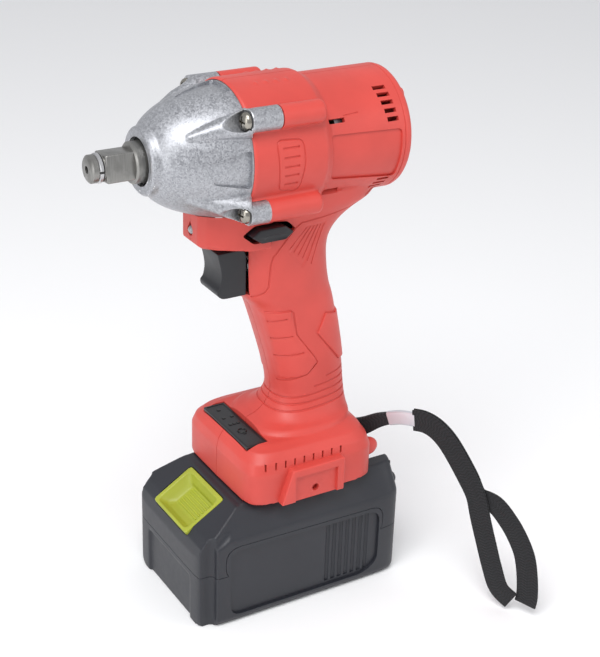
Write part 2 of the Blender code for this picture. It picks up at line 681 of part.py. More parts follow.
def anvil(look):
    """Square drive, journal and the lugs that the hammer strikes."""
    groove_front = TIP_X + 3.4 * MM
    groove_rear = groove_front + 2.6 * MM
    square_end = NOSE_X - 4.6 * MM
    pilot = DRIVE_SQUARE / 2
    pin = SPINDLE_RADIUS - 3 * MM + RUN
    lug_front = LUG_REAR_X - 6 * MM
    outline = [(TIP_X, 1.8 * MM), (TIP_X, pilot - 0.8 * MM), (TIP_X + 0.8 * MM, pilot),
               (groove_front, pilot), (groove_front, pilot - 1.3 * MM),
               (groove_rear, pilot - 1.3 * MM), (groove_rear, pilot), (square_end, pilot),
               (square_end, JOURNAL_RADIUS - 0.6 * MM), (square_end + 0.6 * MM, JOURNAL_RADIUS),
               (lug_front, JOURNAL_RADIUS), (LUG_REAR_X, JOURNAL_RADIUS), (LUG_REAR_X, pin),
               (LUG_REAR_X - 11 * MM, pin), (LUG_REAR_X - 11 * MM, 1.8 * MM)]
    body = turned("anvil", outline, MID, tube=True)
    half = DRIVE_SQUARE / 2
    bevel = 1 * MM
    corners = [(half, half - bevel), (half - bevel, half), (-half + bevel, half), (-half, half - bevel),
               (-half, -half + bevel), (-half + bevel, -half), (half - bevel, -half), (half, -half + bevel)]
    c, s = math.cos(DRIVE_TURN), math.sin(DRIVE_TURN)
    turned_corners = [(y * c - z * s, y * s + z * c) for y, z in corners]
    square = loft("square", [[(x, y, AXIS_Z + z) for y, z in turned_corners]
                             for x in (groove_rear + 0.6 * MM, square_end + 1 * MM)])
    cut(square, rod("core", (TIP_X - 1 * MM, 0, AXIS_Z), (NOSE_X, 0, AXIS_Z), 3 * MM))
    add(body, square, *lug_ring(lug_front, LUG_REAR_X, JOURNAL_RADIUS - 2 * MM, 18 * MM, -22, 44))
    dress(body, "anvil", look)
    pivot_at(body, (TIP_X, 0, AXIS_Z))


def friction_ring(look):
    """Split ring in the drive's groove that grips a socket."""
    start = TIP_X + 3.4 * MM + GAP
    body = ring_tube("friction_ring", start, start + 2 * MM, DRIVE_SQUARE / 2 - 1 * MM,
                     DRIVE_SQUARE / 2 + 0.35 * MM, MID)
    cut(body, box("split", (TIP_X, -0.6 * MM, AXIS_Z - 9 * MM), (NOSE_X, 0.6 * MM, AXIS_Z)))
    dress(body, "friction_ring", look)


def hammer(look):
    """Heavy ring with two front lugs, cam slots and a spring pocket."""
    front = LUG_REAR_X + RUN
    rear = HAMMER_REAR_X
    bore = SPINDLE_RADIUS + RUN
    pocket = SPINDLE_RADIUS + 9 * MM
    outline = [(front, bore), (front, HAMMER_RADIUS - 1 * MM), (front + 1 * MM, HAMMER_RADIUS),
               (rear, HAMMER_RADIUS), (rear, pocket), (front + 9 * MM, pocket),
               (front + 9 * MM, bore)]
    body = turned("hammer", outline, tube=True)
    add(body, *lug_ring(front - 6 * MM, front + 1 * MM, 10.4 * MM, 19 * MM, 62, 44))
    for side in (-1, 1):
        z = AXIS_Z + side * (SPINDLE_RADIUS + 0.6 * MM)
        cut(body, box("cam_slot", (front - 1 * MM, -2.6 * MM, z - 2.2 * MM),
                      (front + 8 * MM, 2.6 * MM, z + 2.2 * MM)))
    dress(body, "hammer", look)
    pivot_at(body, (front, 0, AXIS_Z))


def cam_balls(look):
    x = LUG_REAR_X + RUN + 5 * MM
    for number, side in enumerate((-1, 1), 1):
        z = AXIS_Z + side * (SPINDLE_RADIUS + 0.2 * MM)
        work = bmesh.new()
        bmesh.ops.create_icosphere(work, subdivisions=2, radius=2.1 * MM)
        mesh = bpy.data.meshes.new("ball")
        work.to_mesh(mesh)
        work.free()
        ball = bpy.data.objects.new("ball", mesh)
        mesh.transform(Matrix.Translation((x, 0, z)))
        bpy.context.scene.collection.objects.link(ball)
        dress(ball, "cam_ball_%d" % number, look)


def spindle(look):
    """Cam shaft with the planet carrier and its pins at the rear."""
    front = LUG_REAR_X - 9 * MM
    pin = SPINDLE_RADIUS - 3 * MM
    rear_plate = GEAR_X + GEAR_WIDTH + RUN
    carrier = ORBIT + 5.5 * MM
    profile = [(front, pin - 0.6 * MM), (front + 0.6 * MM, pin), (LUG_REAR_X + RUN, pin),
               (LUG_REAR_X + RUN, SPINDLE_RADIUS), (CARRIER_X, SPINDLE_RADIUS), (CARRIER_X, carrier),
               (CARRIER_X + 3 * MM, carrier)]
    body = turned("spindle", profile, MID)
    add(body, ring_tube("rear_plate", rear_plate, rear_plate + 2 * MM, 6.5 * MM, carrier, MID))
    add(body, ring_tube("hub", rear_plate + 1 * MM, PLATE_X + 3.8 * MM, 7 * MM, 10 * MM, MID))
    for k in range(PLANET_COUNT):
        turn = math.radians(90 + 60 + 120 * k)
        y, z = 15.8 * MM * math.cos(turn), AXIS_Z + 15.8 * MM * math.sin(turn)
        add(body, rod("bridge", (CARRIER_X + 2 * MM, y, z), (rear_plate + 1 * MM, y, z), 1.6 * MM, 8))
        y, z = planet_place(k)
        add(body, rod("pin", (CARRIER_X + 2 * MM, y, z), (rear_plate + 1 * MM, y, z), PIN_RADIUS, LOW))
    x = LUG_REAR_X + RUN + 5 * MM
    for side in (-1, 1):
        z = AXIS_Z + side * (SPINDLE_RADIUS + 0.2 * MM)
        cut(body, box("cam_groove", (x - 2.1 * MM - GAP, -2.1 * MM - GAP, z - 2.1 * MM - GAP),
                      (x + 2.1 * MM + GAP, 2.1 * MM + GAP, z + 2.1 * MM + GAP)))
    dress(body, "spindle", look)
    pivot_at(body, (front, 0, AXIS_Z))


def planet_place(k):
    turn = math.radians(90 + 120 * k)
    return ORBIT * math.cos(turn), AXIS_Z + ORBIT * math.sin(turn)


def gear_outline(teeth, phase, internal=False):
    """Tooth outline as (y, z) points about the gear's own centre."""
    pitch = GEAR_MODULE * teeth / 2
    step = 2 * math.pi / teeth
    tip = pitch + (0.85 if not internal else -0.8) * GEAR_MODULE
    root = pitch - (1.15 if not internal else -1.15) * GEAR_MODULE
    at_tip = 0.13 if not internal else 0.14
    at_root = 0.27 if not internal else 0.26
    thin = 0.035
    points = []
    for i in range(teeth):
        middle = phase + i * step
        for radius, share in ((root, -at_root), (tip, -at_tip), (tip, at_tip), (root, at_root)):
            side = math.copysign(abs(share) - thin, share)
            turn = middle + side * step
            points.append((radius * math.cos(turn), radius * math.sin(turn)))
    return points


def planets(look):
    for k in range(PLANET_COUNT):
        y, z = planet_place(k)
        centre = math.radians(90 + 120 * k)
        phase = planet_phase(centre)
        outline = gear_outline(PLANET_TEETH, phase)
        rings = [[(x, y + a, z + b) for a, b in outline] for x in (GEAR_X, GEAR_X + GEAR_WIDTH)]
        gear = loft("gear", rings, smooth=False)
        cut(gear, rod("bore", (GEAR_X - 1 * MM, y, z), (GEAR_X + GEAR_WIDTH + 1 * MM, y, z),
                      PIN_RADIUS + RUN, LOW))
        dress(gear, "planet_gear_%d" % (k + 1), look, smooth=False)
        pivot_at(gear, (GEAR_X, y, z))


def planet_phase(centre):
    """Turn of a planet that puts its teeth into the sun's gaps.

    The sun has a tooth at angle 0 of its own pattern; the planet needs a gap facing each
    sun tooth along the line between centres.
    """
    sun_step = 2 * math.pi / SUN_TEETH
    offset = (centre % sun_step) / sun_step
    planet_step = 2 * math.pi / PLANET_TEETH
    return centre + math.pi + planet_step / 2 + offset * planet_step


def ring_phase():
    """Turn of the ring gear that meshes with the planets."""
    centre = math.radians(90)
    planet_step = 2 * math.pi / PLANET_TEETH
    ring_step = 2 * math.pi / RING_TEETH
    share = ((centre - planet_phase(centre)) % planet_step) / planet_step
    return centre + ring_step / 2 - share * ring_step


def ring_gear(look):
    outer = SPIGOT_RADIUS - SPIGOT_WALL
    start = CASE_REAR_X + SPIGOT_LENGTH + GAP
    end = PLATE_X - GAP
    body = rod("ring", (start, 0, AXIS_Z), (end, 0, AXIS_Z), outer, HIGH)
    outline = gear_outline(RING_TEETH, ring_phase(), internal=True)
    cutter = loft("teeth", [[(x, y, AXIS_Z + z) for y, z in outline]
                            for x in (start - 1 * MM, end + 1 * MM)], smooth=False)
    cut(body, cutter)
    dress(body, "ring_gear", look, smooth=False)


def hammer_spring(look):
    front = LUG_REAR_X + RUN + 9 * MM + RUN
    body = coil("hammer_spring", (front, 0, AXIS_Z), (CARRIER_X - RUN, 0, AXIS_Z),
                12.6 * MM, 1.4 * MM, 4)
    dress(body, "hammer_spring", look)


def gear_plate(look):
    """Wall between gears and motor that seats both bearings."""
    outer = min(SPIGOT_RADIUS, BARREL_BORE)
    end = PLATE_X + 9 * MM
    outline = [(PLATE_X, 14.3 * MM), (PLATE_X, outer), (PLATE_X + 4 * MM, outer),
               (PLATE_X + 4 * MM, 16.3 * MM), (end, 12 * MM), (end, 8.3 * MM),
               (PLATE_X + 4.6 * MM, 8.3 * MM), (PLATE_X + 4.6 * MM, 14.3 * MM)]
    body = turned("gear_plate", outline, tube=True)
    dress(body, "gear_plate", look)


def bearings(look):
    places = (("spindle_bearing", PLATE_X + 0.4 * MM, PLATE_X + 4.2 * MM, 10.35 * MM, 14 * MM),
              ("front_motor_bearing", PLATE_X + 5 * MM, PLATE_X + 8.8 * MM, 4.35 * MM, 8 * MM),
              ("rear_motor_bearing", BARREL_REAR_X - 2.8 * MM, BARREL_REAR_X - 0.2 * MM,
               4.35 * MM, 8 * MM))
    for name, x0, x1, inner, outer in places:
        body = ring_tube(name, x0, x1, inner, outer, MID)
        dress(body, name, look)


# ---- motor --------------------------------------------------------------------------
def rotor_shaft(look):
    pinion_start = GEAR_X
    pinion_end = GEAR_X + GEAR_WIDTH
    neck = 2.5 * MM
    profile = [(pinion_end - 0.5 * MM, neck), (PLATE_X + 4.4 * MM, neck), (PLATE_X + 4.4 * MM, SHAFT_RADIUS),
               (BARREL_REAR_X - 0.3 * MM, SHAFT_RADIUS)]
    body = turned("rotor_shaft", profile, LOW)
    outline = gear_outline(SUN_TEETH, 0)
    pinion = loft("pinion", [[(x, y, AXIS_Z + z) for y, z in outline]
                             for x in (pinion_start, pinion_end)], smooth=False)
    add(body, pinion)
    dress(body, "rotor_shaft", look)
    pivot_at(body, (pinion_start, 0, AXIS_Z))


def rotor_core(look):
    body = ring_tube("rotor_core", MOTOR_X, MOTOR_X + CORE_LENGTH, SHAFT_RADIUS + GAP, ROTOR_RADIUS, MID)
    dress(body, "rotor_core", look)


def slot_places():
    """Centres of the stator's six winding slots."""
    places = []
    for k in range(6):
        turn = 2 * math.pi * k / 6
        places.append((SLOT_ORBIT * math.cos(turn), AXIS_Z + SLOT_ORBIT * math.sin(turn)))
    return places


def stator(look):
    start = MOTOR_X - 1 * MM
    end = MOTOR_X + CORE_LENGTH + 1 * MM
    body = ring_tube("stator", start, end, ROTOR_RADIUS + 0.7 * MM, BARREL_BORE)
    for y, z in slot_places():
        cut(body, rod("slot", (start - 1 * MM, y, z), (end + 1 * MM, y, z), SLOT_RADIUS, 8))
    dress(body, "stator", look)


def stator_windings(look):
    """Six copper coils in the stator's slots, joined by a ring at the front."""
    start = MOTOR_X - 2.5 * MM
    end = MOTOR_X + CORE_LENGTH + 2.5 * MM
    body = ring_tube("windings", start, MOTOR_X - 1 * MM - GAP, ROTOR_RADIUS + 1.2 * MM,
                     SLOT_ORBIT + SLOT_RADIUS, MID)
    for y, z in slot_places():
        add(body, rod("coil", (start + 0.4 * MM, y, z), (end, y, z), SLOT_RADIUS - GAP, 8))
    dress(body, "stator_windings", look)


def fan(look):
    """Disc with nine swept blades on a hub."""
    start = MOTOR_X + CORE_LENGTH + 3.3 * MM
    end = BARREL_REAR_X - 4 * MM
    hub = 7 * MM
    tip = FAN_RADIUS - 0.6 * MM
    outline = []
    for k in range(9):
        turn = 2 * math.pi * k / 9
        for radius, lag in ((hub, -0.1), (tip, 0.05), (tip, 0.1), (hub, 0.1), (hub, 0.35)):
            outline.append((radius * math.cos(turn + lag), radius * math.sin(turn + lag)))
    body = loft("blades", [[(x, y, AXIS_Z + z) for y, z in outline]
                           for x in (start + 0.6 * MM, end)], smooth=False)
    cut(body, rod("bore", (start - 1 * MM, 0, AXIS_Z), (end + 1 * MM, 0, AXIS_Z), SHAFT_RADIUS + GAP))
    add(body, ring_tube("disc", start, start + 1 * MM, SHAFT_RADIUS + 1 * MM, FAN_RADIUS, MID))
    dress(body, "fan", look)


def sensor_board(look):
    x = MOTOR_X - 2.5 * MM - GAP - 1.4 * MM
    body = ring_tube("sensor_board", x, x + 1.2 * MM, 15 * MM, 22 * MM, MID)
    dress(body, "sensor_board", look)


# ---- trigger, switch and lamp -------------------------------------------------------
def trigger(look):
    rear, top, bottom = TRIGGER_REAR_X, TRIGGER_TOP_Z, TRIGGER_BOTTOM_Z
    outline = [(rear, top), (rear - 15 * MM, top), (rear - 14 * MM, top - 6 * MM),
               (rear - 13 * MM, top - 12 * MM), (rear - 14 * MM, top - 18 * MM),
               (rear - 15.6 * MM, bottom + 3.4 * MM), (rear - 14.4 * MM, bottom + 1 * MM),
               (rear - 11.4 * MM, bottom), (rear, bottom)]
    half = TRIGGER_HALF_WIDTH
    body = loft("trigger", [[(x, y, z) for x, z in outline] for y in (-half, half)], smooth=False)
    add(body, rod("stem", (rear - 0.4 * MM, 0, STEM_Z), (SWITCH_FRONT_X - 1.8 * MM, 0, STEM_Z),
                  STEM_RADIUS, LOW))
    dress(body, "trigger", look)
    pivot_at(body, (rear, 0, STEM_Z))


def trigger_spring(look):
    body = coil("trigger_spring", (TRIGGER_REAR_X + RUN, 0, STEM_Z), (SWITCH_FRONT_X - RUN, 0, STEM_Z),
                STEM_RADIUS + 1.4 * MM, 0.5 * MM, 4)
    dress(body, "trigger_spring", look)


def switch_body(look):
    """Speed switch with a bore for the trigger's stem and a post for the lever."""
    top = AXIS_Z - CHIN_DROP
    body = box("switch", (SWITCH_FRONT_X, -9.5 * MM, TRIGGER_BOTTOM_Z + 1 * MM),
               (SWITCH_REAR_X, 9.5 * MM, top))
    cut(body, rod("bore", (SWITCH_FRONT_X - 1 * MM, 0, STEM_Z),
                  (SWITCH_FRONT_X + TRIGGER_TRAVEL + 2.4 * MM, 0, STEM_Z), STEM_RADIUS + RUN, LOW))
    add(body, rod("post", (LEVER_PIVOT_X, 0, top - 1 * MM),
                  (LEVER_PIVOT_X, 0, LEVER_Z + LEVER_HEIGHT - 0.5 * MM), STEM_RADIUS, LOW))
    dress(body, "switch_body", look, smooth=False)


def direction_lever(look):
    """Crossbar that swings sideways on the switch's post."""
    front, rear, low = LEVER_FRONT_X, LEVER_REAR_X, LEVER_Z
    high = low + LEVER_HEIGHT
    middle = (low + high) / 2
    taper = 4.5 * MM
    outline = [(front, middle), (front + taper, high), (rear - taper, high), (rear, middle),
               (rear - taper, low), (front + taper, low)]
    rings = [[(x, y, z) for x, z in outline] for y in (-LEVER_HALF_SPAN, LEVER_HALF_SPAN)]
    body = loft("bar", rings, smooth=False)
    pivot = (LEVER_PIVOT_X, 0)
    add(body, box("arm", (rear - 8 * MM, -3 * MM, low + 1 * MM), (LEVER_PIVOT_X, 3 * MM, high - 1 * MM)),
        rod("eye", (*pivot, low + 1 * MM), (*pivot, high - 1 * MM), STEM_RADIUS + 2 * MM, LOW))
    cut(body, rod("hole", (*pivot, low - 1 * MM), (*pivot, high + 1 * MM), STEM_RADIUS + RUN, LOW))
    dress(body, "direction_lever", look, smooth=False)
    pivot_at(body, (*pivot, low))


def work_lamp(look):
    front = CHIN_FRONT_X
    profile = [(front - 0.7 * MM, LAMP_RADIUS - 1.2 * MM), (front - 0.1 * MM, LAMP_RADIUS - 0.4 * MM),
               (front + 1.1 * MM, LAMP_RADIUS), (front + 6.5 * MM, LAMP_RADIUS)]
    body = turned("work_lamp", profile, LOW, z=LAMP_Z)
    dress(body, "work_lamp", look)


# ---- foot ---------------------------------------------------------------------------
def control_panel(look):
    top = FOOT_TOP_Z - 0.2 * MM
    body = box("panel", (PANEL_FRONT_X, -PANEL_HALF_WIDTH, top - 2 * MM),
               (PANEL_FRONT_X + PANEL_LENGTH, PANEL_HALF_WIDTH, top))
    dress(body, "control_panel", look, smooth=False)


def control_board(look):
    body = box("board", (-8 * MM, -26 * MM, BOARD_Z), (32 * MM, 26 * MM, BOARD_Z + BOARD_THICKNESS))
    dress(body, "control_board", look, smooth=False)


def terminal_block(look):
    """Contact carrier with two blades that enter the battery's clips."""
    body = box("block", (4 * MM, -13 * MM, RAIL_BOTTOM_Z + 1 * MM), (24 * MM, 13 * MM, BOARD_Z - 0.4 * MM))
    for y in CONTACT_Y:
        add(body, box("blade", (8 * MM, y - 0.4 * MM, RAIL_BOTTOM_Z - 4 * MM),
                      (20 * MM, y + 0.4 * MM, RAIL_BOTTOM_Z + 2 * MM)))
    dress(body, "terminal_block", look, smooth=False)


# ---- battery ------------------------------------------------------------------------
def battery_block(inset, levels):
    """Rings of the battery's rounded block; each level is a height and its narrowing."""
    half_length = BATTERY_LENGTH / 2 - inset
    half_width = BATTERY_HALF_WIDTH - inset
    return [oval(-half_length, half_length, half_width - narrow, z, 9) for z, narrow in levels]


def above_slope(drop=0.0):
    """Everything over the battery's sloping front, lowered by drop."""
    front = -BATTERY_LENGTH / 2
    deck = BATTERY_DECK_Z - drop
    sky = BATTERY_DECK_Z + 40 * MM
    side = [(FOOT_FRONT_X - 0.5 * MM, sky), (FOOT_FRONT_X - 0.5 * MM, deck - 0.3 * MM),
            (FOOT_FRONT_X - 4 * MM, deck - 0.8 * MM), (front + 5 * MM, deck - 11.8 * MM),
            (front + 1.6 * MM, deck - 16.3 * MM), (front - 0.5 * MM, deck - 23.8 * MM),
            (front - 10 * MM, deck - 23.8 * MM), (front - 10 * MM, sky)]
    return loft("over_slope", [[(x, y, z) for x, z in side] for y in (-0.06, 0.06)], smooth=False)


def battery_outer():
    """Whole outer shape of the battery above its underside."""
    shoulder = BATTERY_SHOULDER_Z
    body = loft("battery", battery_block(0, [
        (0, 2.5 * MM), (2.5 * MM, 0.4 * MM), (4 * MM, 0), (shoulder, 0),
        (shoulder + 5 * MM, 1.2 * MM), (shoulder + 9 * MM, 4 * MM), (BATTERY_DECK_Z, 9 * MM)]))
    return cut(body, above_slope())


def side_window(side, grow=0.0):
    """Panel opening that the lower shell's side wall stands in."""
    y0 = side * (BATTERY_HALF_WIDTH - BATTERY_WALL - 1.5 * MM)
    y1 = side * (BATTERY_HALF_WIDTH + 3 * MM)
    half = BATTERY_LENGTH / 2
    return box("window", (-half + 8 * MM - grow, min(y0, y1), BATTERY_SEAM_Z - 2 * MM),
               (half - 7 * MM + grow, max(y0, y1), BATTERY_SHOULDER_Z - 3 * MM + grow))


def battery_cavity():
    """Room for the cells, under the deck and the sloping front."""
    deck = BATTERY_DECK_Z - BATTERY_WALL
    space = loft("cavity", battery_block(BATTERY_WALL, [
        (-1 * MM, 0), (BATTERY_SHOULDER_Z, 0), (BATTERY_SHOULDER_Z + 7 * MM, 2.5 * MM), (deck, 8 * MM)]))
    return cut(space, above_slope(3 * MM))


def battery_upper_shell(look):
    rear = BATTERY_LENGTH / 2
    wall = 2.4 * MM
    body = battery_outer()
    cut(body, battery_cavity())
    add(body, box("channel_block", (RAIL_FRONT_X - wall, -RAIL_HALF_WIDTH - wall, RAIL_BOTTOM_Z - wall),
                  (rear - 1 * MM, RAIL_HALF_WIDTH + wall, BATTERY_DECK_Z - 1 * MM)))
    cut(body,
        box("wide_channel", (RAIL_FRONT_X - RUN, -RAIL_HALF_WIDTH - RUN, RAIL_BOTTOM_Z - RUN),
            (rear + 2 * MM, RAIL_HALF_WIDTH + RUN, RAIL_SHELF_Z + RUN)),
        box("narrow_channel", (RAIL_FRONT_X - RUN, -RAIL_NECK - RUN, RAIL_SHELF_Z),
            (rear + 2 * MM, RAIL_NECK + RUN, BATTERY_DECK_Z + 2 * MM)))
    for y in CONTACT_Y:
        cut(body, box("contact_slot", (5 * MM, y - 2.6 * MM, RAIL_BOTTOM_Z - 5 * MM),
                      (rear + 2 * MM, y + 2.6 * MM, RAIL_BOTTOM_Z)))
    far = BATTERY_LENGTH
    cut(body, box("below", (-far, -far, -0.02), (far, far, BATTERY_SEAM_Z + GAP / 2)))
    for side in (-1, 1):
        cut(body, side_window(side, GAP))
    cut(body, button_pocket(RUN))
    dress(body, "battery_upper_shell", look)


def battery_lower_shell(look):
    body = battery_outer()
    inner = [(BATTERY_WALL, 2 * MM), (4 * MM, 0), (BATTERY_SHOULDER_Z + 20 * MM, 0)]
    cut(body, loft("cavity", battery_block(BATTERY_WALL, inner)))
    half = BATTERY_LENGTH
    top = box("above", (-half, -half, BATTERY_SEAM_Z - GAP / 2), (half, half, 0.2))
    for side in (-1, 1):
        keep = side_window(side, -GAP)
        cut(top, keep)
    cut(body, top)
    for side in (-1, 1):
        y0 = side * (BATTERY_HALF_WIDTH - 0.8 * MM)
        y1 = side * (BATTERY_HALF_WIDTH + 2 * MM)
        cut(body, box("panel_recess", (-BATTERY_LENGTH / 2 + 9 * MM, min(y0, y1), 6 * MM),
                      (BATTERY_LENGTH / 2 - 8 * MM, max(y0, y1), BATTERY_SHOULDER_Z)))
    dress(body, "battery_lower_shell", look)


def slope_frame():
    """Middle, inward direction and downhill direction of the button's slope."""
    top = Vector((FOOT_FRONT_X - 5.5 * MM, 0, BATTERY_DECK_Z - 2 * MM))
    foot = Vector((-BATTERY_LENGTH / 2 + 3.6 * MM, 0, BATTERY_DECK_Z - SLOPE_DROP))
    downhill = (foot - top).normalized()
    inward = Vector((-downhill.z, 0, downhill.x)).normalized()
    return (top + foot) / 2, inward, downhill, (foot - top).length


def slope_box(name, half_along, half_wide, out, deep):
    """A box lying on the button's slope, from out above it to deep below it."""
    middle, inward, downhill, _ = slope_frame()
    rings = []
    for depth in (-out, deep):
        centre = middle + inward * depth
        ring = []
        for a, b in ((-1, -1), (1, -1), (1, 1), (-1, 1)):
            ring.append(centre + downhill * half_along * a + Vector((0, half_wide * b, 0)))
        rings.append(ring)
    return loft(name, rings, smooth=False)


def button_pocket(clearance):
    _, _, _, length = slope_frame()
    return slope_box("button_pocket", length / 2 - 1.5 * MM + clearance, BUTTON_HALF_WIDTH + clearance,
                     6 * MM, BUTTON_DEPTH + BUTTON_TRAVEL + 2 * MM)


def release_button(look):
    _, _, _, length = slope_frame()
    half = length / 2 - 1.5 * MM
    body = slope_box("button", half, BUTTON_HALF_WIDTH, 0.4 * MM, BUTTON_DEPTH)
    cut(body, slope_box("scoop", half - BUTTON_LIP, BUTTON_HALF_WIDTH - BUTTON_LIP, 2 * MM, 5 * MM))
    dress(body, "release_button", look, smooth=False)


def button_spring(look):
    middle, inward, _, _ = slope_frame()
    start = middle + inward * (BUTTON_DEPTH + GAP)
    end = middle + inward * (BUTTON_DEPTH + 5.5 * MM)
    body = coil("button_spring", start, end, 4 * MM, 0.5 * MM, 4)
    dress(body, "button_spring", look)


def cell_places():
    pitch = 2 * CELL_RADIUS + 0.6 * MM
    places = []
    for row in range(CELL_ROWS):
        for column in range(CELL_COLUMNS):
            x = BATTERY_LENGTH / 2 - CELL_END_GAP - CELL_RADIUS - column * pitch
            z = BATTERY_WALL + 2.2 * MM + CELL_RADIUS + row * pitch
            places.append((x, z))
    return places


def cell_pairs(look):
    """Each column is two cells joined by nickel tabs at both ends."""
    places = cell_places()
    end = CELL_LENGTH / 2
    for column in range(CELL_COLUMNS):
        x = places[column][0]
        zs = [z for place_x, z in places if place_x == x]
        body = box("tab", (x - 3 * MM, end - 0.1 * MM, zs[0] - 3 * MM),
                   (x + 3 * MM, end + 0.3 * MM, zs[-1] + 3 * MM))
        for z in zs:
            add(body, rod("cell", (x, -end, z), (x, end, z), CELL_RADIUS, MID))
        dress(body, "cell_pair_%d" % (column + 1), look)


def cell_holders(look):
    xs = [x for x, _ in cell_places()]
    zs = [z for _, z in cell_places()]
    edge = CELL_RADIUS + 1.2 * MM
    for name, side in (("left_cell_holder", -1), ("right_cell_holder", 1)):
        y0 = side * (CELL_LENGTH / 2 - 9 * MM)
        y1 = side * (CELL_LENGTH / 2 - 3 * MM)
        body = box("holder", (min(xs) - edge, min(y0, y1), min(zs) - edge),
                   (max(xs) + edge, max(y0, y1), max(zs) + edge))
        for x, z in cell_places():
            cut(body, rod("bore", (x, min(y0, y1) - 1 * MM, z), (x, max(y0, y1) + 1 * MM, z),
                          CELL_RADIUS + GAP, MID))
        dress(body, name, look, smooth=False)


def battery_board(look):
    z = max(z for _, z in cell_places()) + CELL_RADIUS + 2.6 * MM
    body = box("board", (-28 * MM, -24 * MM, z), (34 * MM, 24 * MM, z + 1.6 * MM))
    dress(body, "battery_board", look, smooth=False)


def battery_clips(look):
    """Two spring clips on one base that grip the tool's blades."""
    board_top = max(z for _, z in cell_places()) + CELL_RADIUS + 4.2 * MM
    top = RAIL_BOTTOM_Z - 0.5 * MM
    body = box("base", (7 * MM, -11 * MM, board_top + GAP), (21 * MM, 11 * MM, board_top + 2 * MM))
    for y in CONTACT_Y:
        add(body, box("clip", (8 * MM, y - 2 * MM, board_top + 1 * MM), (20 * MM, y + 2 * MM, top)))
        cut(body, box("mouth", (5 * MM, y - 0.9 * MM, board_top + 2.4 * MM),
                      (23 * MM, y + 0.9 * MM, top + 2 * MM)))
    dress(body, "battery_clips", look, smooth=False)


# ---- wrist strap --------------------------------------------------------------------
def strap_point(along, height, aside=0.0):
    """A point of the strap's upright plane; aside is across that plane."""
    across = Vector((-STRAP_HEADING.y, STRAP_HEADING.x, 0))
    return STRAP_START + STRAP_HEADING * along * MM + across * aside * MM + Vector((0, 0, height * MM))


def strap_routes():
    """Hand-picked routes (along, height) of the strap's two runs, in millimetres."""
    arch = [(28, 88.5), (38, 91), (47, 90.5), (55, 85.5), (61.5, 78), (67, 69.5), (72, 59.5)]
    front = arch + [(76, 50), (79.5, 41), (82.5, 30), (86, 17.5), (91, 7.5)]
    back = arch + [(80, 57.5), (88, 52), (94, 43.5), (99, 33.5), (102, 22), (101.5, 11), (98, 7)]
    return front, back


def smooth_route(points, count):
    """Reads a Catmull-Rom curve through the points at even parameters."""
    padded = [points[0]] + points + [points[-1]]
    result = []
    for i in range(count):
        t = i / (count - 1) * (len(points) - 1)
        k = min(int(t), len(points) - 2)
        f = t - k
        p0, p1, p2, p3 = padded[k:k + 4]
        result.append(0.5 * ((2 * p1) + (p2 - p0) * f + (2 * p0 - 5 * p1 + 4 * p2 - p3) * f * f
                             + (3 * p1 - p0 - 3 * p2 + p3) * f * f * f))
    return result


def strap_band(name, points, width, thickness, look):
    across = Vector((-STRAP_HEADING.y, STRAP_HEADING.x, 0))
    rings = []
    for i, point in enumerate(points):
        before = points[max(i - 1, 0)]
        after = points[min(i + 1, len(points) - 1)]
        heading = (after - before).normalized()
        side = heading.cross(across).normalized()
        rings.append([point + side * a * width / 2 + across * b * thickness / 2
                      for a, b in ((-1, -1), (1, -1), (1, 1), (-1, 1))])
    body = loft(name, rings, smooth=False)
    dress(body, name, look, smooth=False)


def wrist_strap(looks):
    half = (STRAP_THICKNESS + GAP * 2) / 2 / MM
    front, back = strap_routes()
    front_run = smooth_route([strap_point(a, z, -half) for a, z in front], 26)
    back_run = smooth_route([strap_point(a, z, half) for a, z in back], 30)
    strap_band("strap_front_run", front_run, STRAP_WIDTH, STRAP_THICKNESS, looks["webbing"])
    strap_band("strap_back_run", back_run, STRAP_WIDTH, STRAP_THICKNESS, looks["webbing"])
    root = smooth_route([strap_point(a, z) for a, z in ((0.3, 76.5), (5, 77.5), (11.5, 80.5))], 8)
    strap_band("strap_root", root, STRAP_WIDTH - 1.5 * MM, 3 * STRAP_THICKNESS, looks["webbing"])
    crimp = smooth_route([strap_point(a, z) for a, z in ((12, 81), (19.5, 85.5), (27.2, 88.2))], 4)
    strap_band("strap_ferrule", crimp, STRAP_WIDTH - 1 * MM, 3.4 * MM, looks["steel"])


# ---- whole tool ---------------------------------------------------------------------
def build():
    clear_scene()
    looks = make_looks()
    housing_halves(looks["red"])
    housing_screws(looks["dark_steel"])
    rear_cap(looks["red"])
    hammer_case(looks["cast"])
    case_screws(looks["dark_steel"])
    nose_bushing(looks["bronze"])
    nose_seal(looks["rubber"])
    anvil(looks["steel"])
    friction_ring(looks["steel"])
    hammer(looks["dark_steel"])
    cam_balls(looks["steel"])
    spindle(looks["steel"])
    hammer_spring(looks["steel"])
    planets(looks["steel"])
    ring_gear(looks["dark_steel"])
    gear_plate(looks["cast"])
    bearings(looks["steel"])
    rotor_shaft(looks["steel"])
    rotor_core(looks["dark_steel"])
    stator(looks["dark_steel"])
    stator_windings(looks["copper"])
    fan(looks["black"])
    sensor_board(looks["board"])
    trigger(looks["black"])
    trigger_spring(looks["steel"])
    switch_body(looks["black"])
    direction_lever(looks["black"])
    work_lamp(looks["lens"])
    control_panel(looks["black"])
    control_board(looks["board"])
    terminal_block(looks["black"])
    battery_upper_shell(looks["charcoal"])
    battery_lower_shell(looks["charcoal"])
    release_button(looks["green"])
    button_spring(looks["steel"])
    cell_holders(looks["black"])
    battery_board(looks["board"])
    battery_clips(looks["bronze"])
    cell_pairs(looks["cell"])
    wrist_strap(looks)


build()
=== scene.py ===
import math

import bmesh
import bpy
import numpy as np
from mathutils import Matrix, Vector
from mathutils.bvhtree import BVHTree


